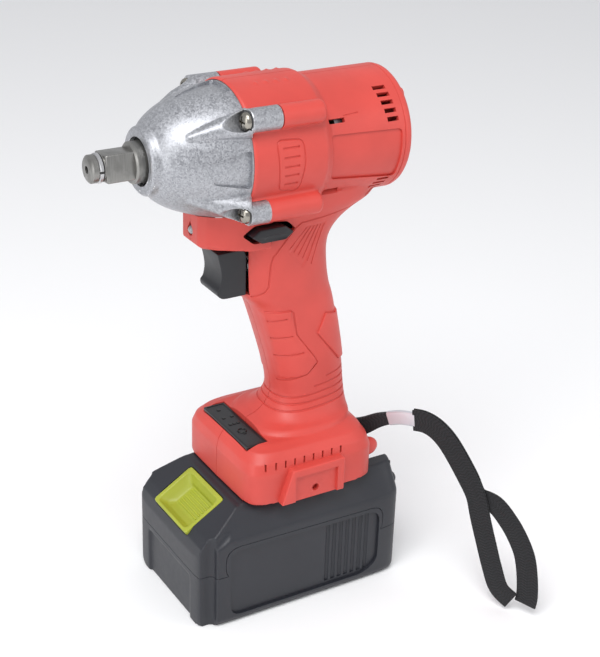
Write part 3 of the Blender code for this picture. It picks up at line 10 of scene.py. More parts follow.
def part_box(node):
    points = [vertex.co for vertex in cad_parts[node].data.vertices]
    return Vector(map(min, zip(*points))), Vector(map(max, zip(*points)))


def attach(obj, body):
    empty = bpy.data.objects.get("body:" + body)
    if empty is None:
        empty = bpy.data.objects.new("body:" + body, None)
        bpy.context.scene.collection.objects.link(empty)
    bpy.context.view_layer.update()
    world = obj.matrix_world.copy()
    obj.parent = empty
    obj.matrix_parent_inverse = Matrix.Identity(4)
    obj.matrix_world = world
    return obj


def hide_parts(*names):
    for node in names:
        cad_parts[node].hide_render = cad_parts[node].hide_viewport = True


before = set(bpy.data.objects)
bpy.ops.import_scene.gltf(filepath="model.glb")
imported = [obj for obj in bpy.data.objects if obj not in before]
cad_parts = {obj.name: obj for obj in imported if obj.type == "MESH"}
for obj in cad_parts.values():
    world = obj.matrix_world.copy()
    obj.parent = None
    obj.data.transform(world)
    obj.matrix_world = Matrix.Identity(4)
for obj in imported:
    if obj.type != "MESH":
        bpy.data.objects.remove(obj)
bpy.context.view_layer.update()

bl_info = {
    "name": "Impact wrench",
    "version": (1, 0, 0),
    "blender": (4, 5, 0),
    "location": "View3D > Sidebar > Impact wrench",
    "description": "Builds the looks of a cordless impact wrench piece by piece",
    "category": "Add Mesh",
}

MM = 0.001
GAP = 0.3

# ---- sizes, in millimetres ----------------------------------------------------------
AXIS = 235.0                        # height of the drive axis
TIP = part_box("anvil")[0].x / MM
NOSE = -71.0                        # front of the hammer case
CASE_REAR = -22.0                   # joint between hammer case and housing
COLLAR_REAR = 9.3
BARREL_REAR = 51.0                  # joint between housing and rear cap
CAP_REAR = 55.8
NOSE_RADIUS = 15.5
CASE_RADIUS = 31.2
COLLAR_RADIUS = 32.2
BARREL_RADIUS = 29.6
WALL = 2.4
SCREW_Y, SCREW_Z = 28.5, 21.4       # case screws from the axis
LOBE_RADIUS = 5.4
LOBE_FRONT = -32.0
UPPER_LOBE_REAR = -17.0
GRIP_HALF = 16.5
FOOT_FRONT, FOOT_REAR, FOOT_HALF = -31.0, 42.0, 36.3
FOOT_BOTTOM, FOOT_TOP = 62.6, 90.0
CHIN_FRONT, CHIN_HALF, CHIN_BOTTOM = -45.5, 10.5, 191.0
BATTERY_HALF_LENGTH, BATTERY_HALF = 58.0, 37.8
SEAM, SHOULDER, DECK = 29.0, 49.0, 61.8
BUTTON_HALF_LENGTH, BUTTON_HALF_WIDTH, BUTTON_SHIFT = 12.6, 17.8, 1.5
RAIL_NECK, RAIL_HALF, RAIL_BOTTOM, RAIL_SHELF = 20.0, 24.0, 53.5, 57.0
STRAP_START = Vector((45.5, -11.5, 0))
STRAP_HEADING = Vector((0.455, -0.890, 0)).normalized()
STRAP_ACROSS = Vector((-STRAP_HEADING.y, STRAP_HEADING.x, 0))


# ---- settings -----------------------------------------------------------------------
class WrenchSizes(bpy.types.PropertyGroup):
    moulding_grain: bpy.props.FloatProperty(
        name="Moulding grain", description="Size of the facets that the fillets are made of",
        default=0.00062, min=0.0003, max=0.003, subtype="DISTANCE", unit="LENGTH")
    cast_grain: bpy.props.FloatProperty(
        name="Casting grain", description="Facet size of the hammer case",
        default=0.00055, min=0.0003, max=0.003, subtype="DISTANCE", unit="LENGTH")
    groove_radius: bpy.props.FloatProperty(
        name="Groove radius", description="Radius of the lines moulded into the housing",
        default=0.0005, min=0.0001, max=0.002, subtype="DISTANCE", unit="LENGTH")
    strap_width: bpy.props.FloatProperty(
        name="Strap width", description="Width of the wrist strap's webbing",
        default=0.0115, min=0.005, max=0.03, subtype="DISTANCE", unit="LENGTH")
    strap_thickness: bpy.props.FloatProperty(
        name="Strap thickness", description="Thickness of the wrist strap's webbing",
        default=0.0012, min=0.0005, max=0.003, subtype="DISTANCE", unit="LENGTH")


class WrenchColours(bpy.types.PropertyGroup):
    housing: bpy.props.FloatVectorProperty(
        name="Housing", description="Colour of the moulded housing",
        default=(0.60, 0.062, 0.048), min=0, max=1, size=3, subtype="COLOR")
    battery: bpy.props.FloatVectorProperty(
        name="Battery", description="Colour of the battery's shells",
        default=(0.019, 0.0205, 0.027), min=0, max=1, size=3, subtype="COLOR")
    button: bpy.props.FloatVectorProperty(
        name="Button", description="Colour of the battery's release button",
        default=(0.36, 0.40, 0.035), min=0, max=1, size=3, subtype="COLOR")
    controls: bpy.props.FloatVectorProperty(
        name="Controls", description="Colour of trigger and direction lever",
        default=(0.010, 0.0105, 0.0135), min=0, max=1, size=3, subtype="COLOR")


# ---- modelling tools ----------------------------------------------------------------
def only(*pieces):
    """Selects these pieces alone; the last one is the active one."""
    for thing in bpy.context.selected_objects:
        thing.select_set(False)
    for piece in pieces:
        piece.select_set(True)
    bpy.context.view_layer.objects.active = pieces[-1]


def clear_selection():
    for thing in bpy.context.selected_objects:
        thing.select_set(False)


def settle(name):
    """Names the new active piece and puts its place, turn and scale into its mesh."""
    piece = bpy.context.active_object
    piece.name = name
    only(piece)
    bpy.ops.object.transform_apply(location=True, rotation=True, scale=True)
    return piece


def refine(piece, kind, **settings):
    """Adds a modifier with these settings and applies it."""
    change = piece.modifiers.new(kind.lower(), kind)
    for key, value in settings.items():
        setattr(change, key, value)
    only(piece)
    bpy.ops.object.modifier_apply(modifier=change.name)
    return piece


def block(name, low, high, bevel=0.0):
    """A box between two corners in millimetres."""
    clear_selection()
    low, high = Vector(low) * MM, Vector(high) * MM
    bpy.ops.mesh.primitive_cube_add(size=1, location=(low + high) / 2, scale=high - low)
    piece = settle(name)
    if bevel:
        refine(piece, "BEVEL", width=bevel * MM, segments=3)
    return piece


def rod(name, start, end, radius, sides=48, end_radius=None):
    """A round or tapered bar between two points in millimetres."""
    clear_selection()
    start, end = Vector(start) * MM, Vector(end) * MM
    along = end - start
    bpy.ops.mesh.primitive_cone_add(
        vertices=sides, radius1=radius * MM, radius2=(end_radius or radius) * MM,
        depth=along.length, location=(start + end) / 2,
        rotation=along.to_track_quat("Z", "Y").to_euler())
    return settle(name)


def ball(name, centre, radii, turn=(0, 0, 0)):
    clear_selection()
    bpy.ops.mesh.primitive_uv_sphere_add(
        segments=48, ring_count=24, radius=1, location=Vector(centre) * MM,
        rotation=turn, scale=Vector(radii) * MM)
    return settle(name)


def loft(name, rings):
    """Extrudes a filled loop through a row of equal rings of points in millimetres."""
    clear_selection()
    bpy.ops.mesh.primitive_circle_add(vertices=len(rings[0]), radius=MM, fill_type="NGON")
    piece = settle(name)
    bpy.ops.object.mode_set(mode="EDIT")
    bpy.ops.mesh.select_all(action="SELECT")
    place_loop(piece, rings[0])
    for ring in rings[1:]:
        bpy.ops.mesh.extrude_region_move()
        place_loop(piece, ring)
    bpy.ops.mesh.select_all(action="SELECT")
    bpy.ops.mesh.normals_make_consistent(inside=False)
    bpy.ops.object.mode_set(mode="OBJECT")
    return piece


def place_loop(piece, ring):
    """Moves the selected loop's points to the ring's."""
    shape = bmesh.from_edit_mesh(piece.data)
    chosen = [vert for vert in shape.verts if vert.select]
    for vert, point in zip(chosen, ring):
        vert.co = Vector(point) * MM
    bmesh.update_edit_mesh(piece.data)


def turned(name, profile, sides=128, y=0.0, z=AXIS):
    """Turns (x, radius) points about the line along X through (y, z)."""
    rings = []
    for x, radius in profile:
        rings.append([(x, y + radius * math.cos(2 * math.pi * (i + 0.5) / sides),
                       z + radius * math.sin(2 * math.pi * (i + 0.5) / sides)) for i in range(sides)])
    return loft(name, rings)


def hollow_turned(name, outer, inner, sides=128, z=AXIS):
    """A turned shape with a turned bore."""
    body = turned(name, outer, sides, z=z)
    return cut(body, turned("bore", inner, sides, z=z))


def fingerprint(piece):
    """Numbers that change when the mesh does."""
    places = np.empty(len(piece.data.vertices) * 3)
    piece.data.vertices.foreach_get("co", places)
    return len(places), len(piece.data.polygons), float(np.abs(places).sum())


def combine(body, tool, operation):
    """Unites or cuts two closed shapes; it stops if nothing came of it."""
    before = fingerprint(body)
    refine(body, "BOOLEAN", operation=operation, solver="MANIFOLD", object=tool)
    if fingerprint(body) == before:
        raise RuntimeError("%s: %s with %s changed nothing" % (body.name, operation, tool.name))
    bpy.data.objects.remove(tool, do_unlink=True)
    return body


def add(body, *tools):
    for tool in tools:
        combine(body, tool, "UNION")
    return body


def cut(body, *tools):
    """Takes the united tools out of the body."""
    tools = list(tools)
    first = tools.pop(0)
    for tool in tools:
        combine(first, tool, "UNION")
    return combine(body, first, "DIFFERENCE")


def moved(piece, *steps):
    """Puts matrices, the first one first, into the piece's mesh."""
    for step in steps:
        piece.data.transform(step)
    piece.data.update()
    return piece


def duplicate(piece):
    twin = piece.copy()
    twin.data = piece.data.copy()
    bpy.context.scene.collection.objects.link(twin)
    return twin


def mirrored(piece):
    """A copy on the tool's other side."""
    twin = moved(duplicate(piece), Matrix.Diagonal((1, -1, 1, 1)))
    twin.data.flip_normals()
    return twin


def both_sides(*pieces):
    result = []
    for piece in pieces:
        result.extend((piece, mirrored(piece)))
    return result


def moulded(body, grain, rounds):
    """Melts the joints of a united shape into soft fillets."""
    refine(body, "REMESH", mode="VOXEL", voxel_size=grain, adaptivity=0)
    return refine(body, "SMOOTH", factor=0.5, iterations=rounds)


def rounded(corners, radius, steps=5):
    """A closed outline in two coordinates with its corners rounded off."""
    result = []
    count = len(corners)
    for i in range(count):
        before, here, after = (Vector(corners[(i + k) % count]) for k in (-1, 0, 1))
        back = (before - here)
        ahead = (after - here)
        reach = min(radius, 0.45 * back.length, 0.45 * ahead.length)
        start = here + back.normalized() * reach
        end = here + ahead.normalized() * reach
        for k in range(steps + 1):
            t = k / steps
            result.append(start * (1 - t) ** 2 + here * 2 * t * (1 - t) + end * t ** 2)
    return [tuple(point) for point in result]


def plate(name, outline, y0, y1):
    """An upright plate: an outline of x and z between two values of y."""
    return loft(name, [[(x, y, z) for x, z in outline] for y in (y0, y1)])


def smooth_line(points, count):
    """Reads a Catmull-Rom curve through the points at even parameters."""
    points = [Vector(point) for point in points]
    padded = [points[0]] + points + [points[-1]]
    result = []
    for i in range(count):
        t = i / (count - 1) * (len(points) - 1)
        k = min(int(t), len(points) - 2)
        f = t - k
        p0, p1, p2, p3 = padded[k:k + 4]
        result.append(0.5 * ((2 * p1) + (p2 - p0) * f + (2 * p0 - 5 * p1 + 4 * p2 - p3) * f * f
                             + (3 * p1 - p0 - 3 * p2 + p3) * f * f * f))
    return result


def even_line(points, step, closed=False):
    """Points along a broken line, no further apart than the step."""
    points = [Vector(point) for point in points]
    if closed:
        points.append(points[0])
    result = []
    for start, end in zip(points, points[1:]):
        pieces = max(1, math.ceil((end - start).length / step))
        result.extend(start.lerp(end, k / pieces) for k in range(pieces))
    if not closed:
        result.append(points[-1])
    return result


def wire(name, points, radius, closed=False):
    """A round wire along points in metres."""
    curve = bpy.data.curves.new(name, "CURVE")
    curve.dimensions = "3D"
    curve.bevel_depth = radius
    curve.bevel_resolution = 1
    curve.use_fill_caps = True
    spline = curve.splines.new("POLY")
    spline.points.add(len(points) - 1)
    for place, point in zip(spline.points, points):
        place.co = (*point, 1)
    spline.use_cyclic_u = closed
    piece = bpy.data.objects.new(name, curve)
    bpy.context.scene.collection.objects.link(piece)
    only(piece)
    bpy.ops.object.convert(target="MESH")
    return refine(bpy.context.active_object, "WELD", merge_threshold=0.002 * MM)


def side_groove(tree, outline, radius, closed=False, corner=0.0):
    """A wire laid on the tool's left side along an outline of x and z."""
    if corner and closed:
        outline = rounded(outline, corner)
    points = []
    for place in even_line(outline, 1.2, closed):
        hit = tree.ray_cast(Vector((place[0] * MM, -0.09, place[1] * MM)), Vector((0, 1, 0)))[0]
        if hit:
            points.append(hit)
    return wire("groove", points, radius, closed)


def ring_groove(tree, height, centre_x, radius, start=0.0, sweep=360.0, lift=0.0):
    """A wire round the handle at a height; lift raises it towards the rear."""
    points = []
    steps = max(8, int(sweep / 5))
    for i in range(steps + (sweep < 360)):
        turn = math.radians(start + sweep * i / steps)
        out = Vector((math.cos(turn), math.sin(turn), 0))
        origin = Vector((centre_x, 0, height + lift * out.x)) * MM
        hit = tree.ray_cast(origin + out * 0.09, -out)[0]
        if hit:
            points.append(hit)
    return wire("ring_groove", points, radius, sweep >= 360)


def surface_of(piece):
    bpy.context.view_layer.update()
    return BVHTree.FromObject(piece, bpy.context.evaluated_depsgraph_get())


def inside_share(points, outline, edge):
    """How far inside a convex or concave outline each point is, from 0 to 1 over the edge."""
    outline = np.array(outline, float)
    inside = np.zeros(len(points), bool)
    nearest = np.full(len(points), 1e9)
    for a, b in zip(outline, np.roll(outline, -1, axis=0)):
        along = b - a
        t = np.clip(((points - a) @ along) / (along @ along), 0, 1)
        nearest = np.minimum(nearest, np.linalg.norm(points - (a + t[:, None] * along), axis=1))
        crosses = (a[1] > points[:, 1]) != (b[1] > points[:, 1])
        rise = b[1] - a[1] if b[1] != a[1] else 1e-9
        at = a[0] + (points[:, 1] - a[1]) / rise * (b[0] - a[0])
        inside ^= crosses & (points[:, 0] < at)
    share = np.clip(0.5 + np.where(inside, nearest, -nearest) / edge, 0, 1)
    return share * share * (3 - 2 * share)


def emboss(body, outline, height, edge=0.8):
    """Raises or sinks the skin inside an outline of x and z on both sides, in millimetres."""
    mesh = body.data
    count = len(mesh.vertices)
    places = np.empty(count * 3)
    mesh.vertices.foreach_get("co", places)
    places = places.reshape(-1, 3)
    normals = np.empty(count * 3)
    mesh.vertices.foreach_get("normal", normals)
    normals = normals.reshape(-1, 3)
    share = inside_share(places[:, (0, 2)] / MM, outline, edge)
    facing = np.clip((np.abs(normals[:, 1]) - 0.25) / 0.3, 0, 1)
    places += normals * (share * facing * height * MM)[:, None]
    mesh.vertices.foreach_set("co", places.ravel())
    mesh.update()
    return body


def smooth_faces(piece, degrees=32):
    only(piece)
    bpy.ops.object.shade_smooth_by_angle(angle=math.radians(degrees))
    return piece


def hand_over(piece, name, look, body, slot, *nodes):
    """Names a finished piece, gives it its material and puts it in its CAD part's place."""
    smooth_faces(piece)
    for node in nodes:
        if node == name:
            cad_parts[node].name = node + "_solid"
    piece.name = name
    piece.data.name = name
    piece.data.materials.clear()
    piece.data.materials.append(look)
    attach(piece, body)
    if nodes:
        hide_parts(*nodes)
    return piece


def oval(x0, x1, half, z, power=2.7, sides=72):
    """A rounded level ring between two x values."""
    ring = []
    for i in range(sides):
        turn = 2 * math.pi * i / sides
        c, s = math.cos(turn), math.sin(turn)
        ring.append(((x0 + x1) / 2 + (x1 - x0) / 2 * math.copysign(abs(c) ** (2 / power), c),
                     half * math.copysign(abs(s) ** (2 / power), s), z))
    return ring


# ---- materials ----------------------------------------------------------------------
class Nodes:
    """A material's nodes, wired by short calls."""

    def __init__(self, name, roughness, metallic=0.0, **sockets):
        self.made = bpy.data.materials.new(name)
        self.made.use_nodes = True
        self.tree = self.made.node_tree
        self.shader = self.tree.nodes["Principled BSDF"]
        self.shader.inputs["Roughness"].default_value = roughness
        self.shader.inputs["Metallic"].default_value = metallic
        for key, value in sockets.items():
            self.shader.inputs[key.replace("_", " ")].default_value = value
        self.where = self.tree.nodes.new("ShaderNodeTexCoord").outputs["Object"]

    def link(self, source, target):
        self.tree.links.new(source, target)
        return source

    def squeezed(self, scale, turn=(0, 0, 0)):
        """The piece's coordinates, stretched or turned."""
        node = self.tree.nodes.new("ShaderNodeMapping")
        node.inputs["Scale"].default_value = scale
        node.inputs["Rotation"].default_value = turn
        self.link(self.where, node.inputs["Vector"])
        return node.outputs["Vector"]

    def noise(self, scale, detail=3.0, roughness=0.5, where=None):
        node = self.tree.nodes.new("ShaderNodeTexNoise")
        node.inputs["Scale"].default_value = scale
        node.inputs["Detail"].default_value = detail
        node.inputs["Roughness"].default_value = roughness
        self.link(where or self.where, node.inputs["Vector"])
        return node.outputs["Fac"]

    def cells(self, scale, output="Color"):
        node = self.tree.nodes.new("ShaderNodeTexVoronoi")
        node.inputs["Scale"].default_value = scale
        self.link(self.where, node.inputs["Vector"])
        return node.outputs[output]

    def between(self, value, low, high, start=0.0, end=1.0):
        """Maps a value from start..end to low..high."""
        node = self.tree.nodes.new("ShaderNodeMapRange")
        for key, number in (("From Min", start), ("From Max", end), ("To Min", low), ("To Max", high)):
            node.inputs[key].default_value = number
        self.link(value, node.inputs["Value"])
        return node.outputs["Result"]

    def blend(self, share, first, second):
        """Mixes two colours, or a colour output and a colour, by a share."""
        node = self.tree.nodes.new("ShaderNodeMix")
        node.data_type = "RGBA"
        self.link(share, node.inputs[0])
        for socket, value in ((node.inputs[6], first), (node.inputs[7], second)):
            if isinstance(value, (tuple, list)):
                socket.default_value = (*value, 1)
            else:
                self.link(value, socket)
        return node.outputs[2]

    def maths(self, operation, a, b=0.0):
        node = self.tree.nodes.new("ShaderNodeMath")
        node.operation = operation
        for socket, value in zip(node.inputs, (a, b)):
            if isinstance(value, (int, float)):
                socket.default_value = value
            else:
                self.link(value, socket)
        return node.outputs[0]

    def bump(self, height, distance, strength=1.0, under=None):
        node = self.tree.nodes.new("ShaderNodeBump")
        node.inputs["Distance"].default_value = distance
        node.inputs["Strength"].default_value = strength
        self.link(height, node.inputs["Height"])
        if under:
            self.link(under, node.inputs["Normal"])
        return node.outputs["Normal"]

    def painted_edge_highlight(self, low, high):
        """Share of convex edges, where a paler colour is painted on as a highlight."""
        node = self.tree.nodes.new("ShaderNodeNewGeometry")
        return self.between(node.outputs["Pointiness"], 0, 1, low, high)

    def close(self, colour=None, roughness=None, normal=None):
        for socket, value in (("Base Color", colour), ("Roughness", roughness), ("Normal", normal)):
            if value is not None:
                self.link(value, self.shader.inputs[socket])
        return self.made


def shade(colour, factor):
    return tuple(min(1.0, part * factor) for part in colour)


def moulded_plastic(name, colour, roughness, grain=2600, depth=0.00003, edge_highlight_gain=1.25, coat=0.0):
    """Spark-textured moulded plastic, paler on its convex edges by a painted highlight."""
    n = Nodes(name, roughness, Coat_Weight=coat, Coat_Roughness=0.3)
    clouds = n.noise(38, 4)
    tone = n.blend(n.between(clouds, 0, 1, 0.35, 0.65), shade(colour, 0.93), shade(colour, 1.05))
    # Painted highlight: the colour is made paler on convex edges.
    tone = n.blend(n.painted_edge_highlight(0.52, 0.6), tone, shade(colour, edge_highlight_gain))
    rough = n.between(n.noise(310, 5), roughness - 0.06, roughness + 0.08)
    fine = n.bump(n.noise(grain, 2), depth, 0.35)
    broad = n.bump(n.noise(130, 2), depth * 3, 0.12, fine)
    return n.close(tone, rough, broad)


def cast_metal(name):
    """Blasted die-cast aluminium with bright flecks and a painted highlight on its convex edges."""
    n = Nodes(name, 0.42, 0.72)
    flecks = n.cells(1500)
    clouds = n.noise(55, 4)
    base = n.blend(n.between(flecks, 0, 1), (0.24, 0.245, 0.265), (0.52, 0.53, 0.56))
    tone = n.blend(n.between(clouds, 0, 0.22, 0.35, 0.7), base, (0.46, 0.47, 0.49))
    # Painted highlight: convex edges are painted near white.
    tone = n.blend(n.painted_edge_highlight(0.53, 0.62), tone, (0.86, 0.87, 0.88))
    rough = n.between(flecks, 0.28, 0.56)
    fine = n.bump(n.noise(1900, 3, 0.65), 0.00008, 0.55)
    broad = n.bump(n.noise(420, 3), 0.00007, 0.2, fine)
    return n.close(tone, rough, broad)


def machined_steel(name, colour, roughness, stretch=(60, 1, 1), scale=90, dark=0.45):
    """Turned or ground steel with fine tool marks across it."""
    n = Nodes(name, roughness, 0.9)
    marks = n.noise(scale, 4, 0.6, n.squeezed(stretch))
    smears = n.noise(160, 4)
    tone = n.blend(marks, shade(colour, dark), shade(colour, 1.25))
    tone = n.blend(n.between(smears, 0, 0.6, 0.5, 0.75), tone, shade(colour, 0.4))
    rough = n.between(smears, roughness - 0.07, roughness + 0.16)
    return n.close(tone, rough, n.bump(marks, 0.00004, 0.5))


def plain_detail(name, colour, roughness, metallic=0.0, scale=500, depth=0.00003, **sockets):
    """A simple finish with clouded colour, uneven gloss and a fine grain."""
    n = Nodes(name, roughness, metallic, **sockets)
    tone = n.blend(n.noise(scale / 6, 4), shade(colour, 0.8), shade(colour, 1.2))
    rough = n.between(n.noise(scale, 3), max(0.05, roughness - 0.08), roughness + 0.1)
    return n.close(tone, rough, n.bump(n.noise(scale * 4, 2), depth, 0.3))


def circuit_board(name):
    """Green board with copper tracks."""
    n = Nodes(name, 0.4)
    tracks = n.between(n.cells(260, "Distance"), 0, 1, 0.42, 0.46)
    tone = n.blend(tracks, (0.02, 0.13, 0.05), (0.06, 0.24, 0.09))
    return n.close(tone, n.between(tracks, 0.5, 0.3), n.bump(tracks, 0.00003, 0.4))


def copper_wire(name):
    """Enamelled copper with the ridges of its turns."""
    n = Nodes(name, 0.3, 1.0)
    turns = n.tree.nodes.new("ShaderNodeTexWave")
    turns.bands_direction = "Z"
    turns.inputs["Scale"].default_value = 520
    n.link(n.where, turns.inputs["Vector"])
    tone = n.blend(turns.outputs["Fac"], (0.32, 0.11, 0.04), (0.75, 0.33, 0.14))
    return n.close(tone, n.between(n.noise(300), 0.25, 0.45), n.bump(turns.outputs["Fac"], 0.0001, 0.6))


def woven_strap(name):
    """Black webbing: a herringbone of slanted yarns, in the strap's own coordinates."""
    n = Nodes(name, 0.85, Sheen_Weight=0.08, Sheen_Roughness=0.5)
    uv = n.tree.nodes.new("ShaderNodeUVMap")
    uv.uv_map = "weave"
    split = n.tree.nodes.new("ShaderNodeSeparateXYZ")
    n.link(uv.outputs["UV"], split.inputs[0])
    along, across = split.outputs["X"], split.outputs["Y"]
    folded = n.maths("PINGPONG", across, 0.25)
    slant = n.maths("ADD", n.maths("MULTIPLY", along, 1.0), n.maths("MULTIPLY", folded, 3.2))
    yarns = n.maths("SINE", n.maths("MULTIPLY", slant, 2 * math.pi))
    ribs = n.maths("SINE", n.maths("MULTIPLY", across, 2 * math.pi * 14))
    height = n.maths("ADD", n.maths("MULTIPLY", yarns, 0.6), n.maths("MULTIPLY", ribs, 0.4))
    share = n.between(height, 0, 1, -0.9, 0.9)
    fuzz = n.noise(2400, 3)
    tone = n.blend(share, (0.002, 0.002, 0.0025), (0.014, 0.014, 0.017))
    tone = n.blend(n.between(fuzz, 0, 0.5, 0.5, 0.8), tone, (0.024, 0.024, 0.028))
    normal = n.bump(share, 0.00025, 0.9, n.bump(fuzz, 0.0001, 0.4))
    return n.close(tone, n.between(fuzz, 0.75, 0.95), normal)


def paper(name):
    """Plain white studio paper with a faint tooth."""
    n = Nodes(name, 0.8)
    tone = n.blend(n.noise(900, 3), (0.96, 0.96, 0.965), (0.98, 0.98, 0.98))
    return n.close(tone, n.between(n.noise(400), 0.75, 0.85))


LOOKS = {}


def make_looks():
    colours = bpy.context.scene.wrench_colours
    red, battery = tuple(colours.housing), tuple(colours.battery)
    lime, controls = tuple(colours.button), tuple(colours.controls)
    LOOKS.update({
        "red": moulded_plastic("red_plastic", red, 0.42, edge_highlight_gain=1.12),
        "black": moulded_plastic("black_plastic", (0.02, 0.021, 0.025), 0.45, edge_highlight_gain=1.6),
        "controls": moulded_plastic("control_plastic", controls, 0.4, edge_highlight_gain=2.0),
        "charcoal": moulded_plastic("charcoal_plastic", battery, 0.42, 1900, 0.00004, 1.5),
        "lime": moulded_plastic("lime_plastic", lime, 0.4, 2200, 0.00004, 1.15),
        "film": plain_detail("panel_film", (0.012, 0.012, 0.014), 0.32, scale=900),
        "ink": plain_detail("panel_ink", (0.003, 0.003, 0.003), 0.2, scale=900),
        "cast": cast_metal("cast_aluminium"),
        "drive": machined_steel("drive_steel", (0.33, 0.325, 0.31), 0.3),
        "dark_steel": plain_detail("dark_steel", (0.10, 0.10, 0.105), 0.36, 0.9),
        "screw": plain_detail("screw_steel", (0.34, 0.32, 0.28), 0.24, 1.0, 900),
        "forged": plain_detail("forged_steel", (0.16, 0.155, 0.15), 0.45, 0.9, 700, 0.0001),
        "bright": machined_steel("bright_steel", (0.58, 0.58, 0.59), 0.25, (1, 1, 40), 120, 0.75),
        "crimp": plain_detail("crimp_steel", (0.72, 0.73, 0.78), 0.42, 0.6, 300, 0.00002),
        "lamination": machined_steel("lamination_steel", (0.25, 0.25, 0.26), 0.4, (900, 1, 1), 3, 0.5),
        "copper": copper_wire("copper_winding"),
        "bronze": plain_detail("bearing_bronze", (0.50, 0.32, 0.13), 0.38, 1.0, 1200, 0.00005),
        "rubber": plain_detail("seal_rubber", (0.02, 0.02, 0.02), 0.8, 0, 700, 0.00008),
        "board": circuit_board("circuit_board"),
        "lens": plain_detail("clear_lens", (0.30, 0.31, 0.32), 0.1, 0.0, 400, 0.00001, Coat_Weight=1.0),
        "cell": plain_detail("cell_wrap", (0.04, 0.22, 0.42), 0.35, 0, 300, 0.00004),
        "webbing": woven_strap("black_webbing"),
    })


# ---- wrist strap --------------------------------------------------------------------
def strap_point(along, height, aside=0.0):
    """A point of the strap's upright plane, in metres; aside is across that plane."""
    return (STRAP_START + STRAP_HEADING * along + STRAP_ACROSS * aside + Vector((0, 0, height))) * MM


def band(name, points, width, thickness, repeat, narrowing=0.0):
    """A flat woven band with soft edges along the points, with its weave's coordinates."""
    outline = rounded([(-width / 2, -thickness / 2), (width / 2, -thickness / 2),
                       (width / 2, thickness / 2), (-width / 2, thickness / 2)], thickness * 0.45, 3)
    rings = []
    for i, point in enumerate(points):
        heading = (points[min(i + 1, len(points) - 1)] - points[max(i - 1, 0)]).normalized()
        side = heading.cross(STRAP_ACROSS).normalized()
        share = 1 - narrowing * i / (len(points) - 1)
        rings.append([(point + side * a * share + STRAP_ACROSS * b) / MM for a, b in outline])
    piece = loft(name, rings)
    layer = piece.data.uv_layers.new(name="weave")
    reached = [0.0]
    for a, b in zip(points, points[1:]):
        reached.append(reached[-1] + (b - a).length)
    line = np.array([tuple(point) for point in points])
    for loop in piece.data.loops:
        place = piece.data.vertices[loop.vertex_index].co
        nearest = int(np.argmin(np.sum((line - np.array(place)) ** 2, axis=1)))
        heading = (points[min(nearest + 1, len(points) - 1)] - points[max(nearest - 1, 0)]).normalized()
        side = heading.cross(STRAP_ACROSS).normalized()
        across = (place - points[nearest]).dot(side) / width + 0.5
        layer.data[loop.index].uv = (reached[nearest] * repeat, across)
    return piece


class WRENCH_OT_strap(bpy.types.Operator):
    """Adds the wrist strap with its crimp"""
    bl_idname = "wrench.strap"
    bl_label = "Wrist strap"

    def execute(self, context):
        sizes = context.scene.wrench_sizes
        width, thick = sizes.strap_width, sizes.strap_thickness
        arch = [(32, 91.2), (38, 91.8), (44, 90.3), (50, 86.4), (56, 79.9), (64, 69), (70, 59.5)]
        front = arch + [(73.5, 48), (77.5, 36), (82, 23), (87, 11.5), (94.5, 6.6)]
        back = arch + [(80, 57.5), (88, 50.5), (94, 42.5), (98.5, 33.5), (101, 22), (102, 12), (101.5, 6.4)]
        root = band("root", smooth_line([strap_point(a, z) for a, z in
                                         ((0.3, 76.5), (5, 79.5), (12, 84.5), (18.4, 87.8))], 24),
                    width - 1 * MM, 2.6 * thick, 500, 0.4)
        hand_over(root, "wrist_strap_root", LOOKS["webbing"], "tool", "black_webbing", "strap_root")
        crimp = band("crimp", smooth_line([strap_point(a, z) for a, z in
                                           ((18, 87.6), (25, 90.2), (33, 91.4))], 12),
                     width - 4 * MM, 3.4 * MM, 100)
        hand_over(crimp, "wrist_strap_crimp", LOOKS["crimp"], "tool", "crimp_steel", "strap_ferrule")
        for name, node, route, aside, count, mates in (
                ("wrist_strap_front", "strap_front_run", front, -0.9, 78, [root, crimp]),
                ("wrist_strap_back", "strap_back_run", back, 0.9, 90, [])):
            points = smooth_line([strap_point(a, z, aside) for a, z in route], count)
            piece = band(name, points, width, thick, 620)
            hand_over(piece, name, LOOKS["webbing"], "tool", "black_webbing", node)
        return {"FINISHED"}


# ---- housing ------------------------------------------------------------------------
def grip_rings(inset, sides=72, count=60):
    """Handle rings from foot to barrel."""
    g = GRIP_HALF
    levels = [
        (-0.075, -19, 38.5, g + 10), (0.004, -17, 39.3, g + 9.5), (0.028, -9, 39.2, g + 4.5),
        (0.062, -3.6, 38.7, g + 0.8), (0.110, -1, 38, g - 0.8), (0.193, -2.8, 36.6, g - 0.8),
        (0.276, -6.1, 34.6, g - 0.3), (0.366, -10.2, 32, g), (0.448, -14.5, 29.4, g),
        (0.503, -20.6, 27, g), (0.572, -21.5, 25.2, g + 0.4), (0.648, -21.5, 24.6, g + 0.8),
        (0.697, -21.5, 27, g + 1), (0.738, -21.5, 32.5, g + 1.5), (0.772, -21.5, 40, g + 2.5),
        (0.807, -21.5, 48.5, g + 4.5), (0.855, -21.5, 50.5, g + 6)]
    rings = []
    for share, front, back, half in smooth_line([Vector(level) for level in levels], count):
        rings.append(oval(front + inset, back - inset, half - inset, FOOT_TOP + share * (AXIS - FOOT_TOP),
                          2.7, sides))
    return rings


def foot_rings(inset):
    """Rings of the block that sits on the battery."""
    front, rear, half, top = FOOT_FRONT + inset, FOOT_REAR - inset, FOOT_HALF - inset, FOOT_TOP - inset
    bottom = FOOT_BOTTOM + (2 if inset else 0)
    return [oval(front, rear, half, bottom, 7), oval(front, rear, half, top - 11, 7),
            oval(front + 1, rear - 1, half - 1.2, top - 6, 6),
            oval(front + 3.5, rear - 3, half - 4.5, top - 2, 5),
            oval(front + 7, rear - 6, half - 10, top, 5)]


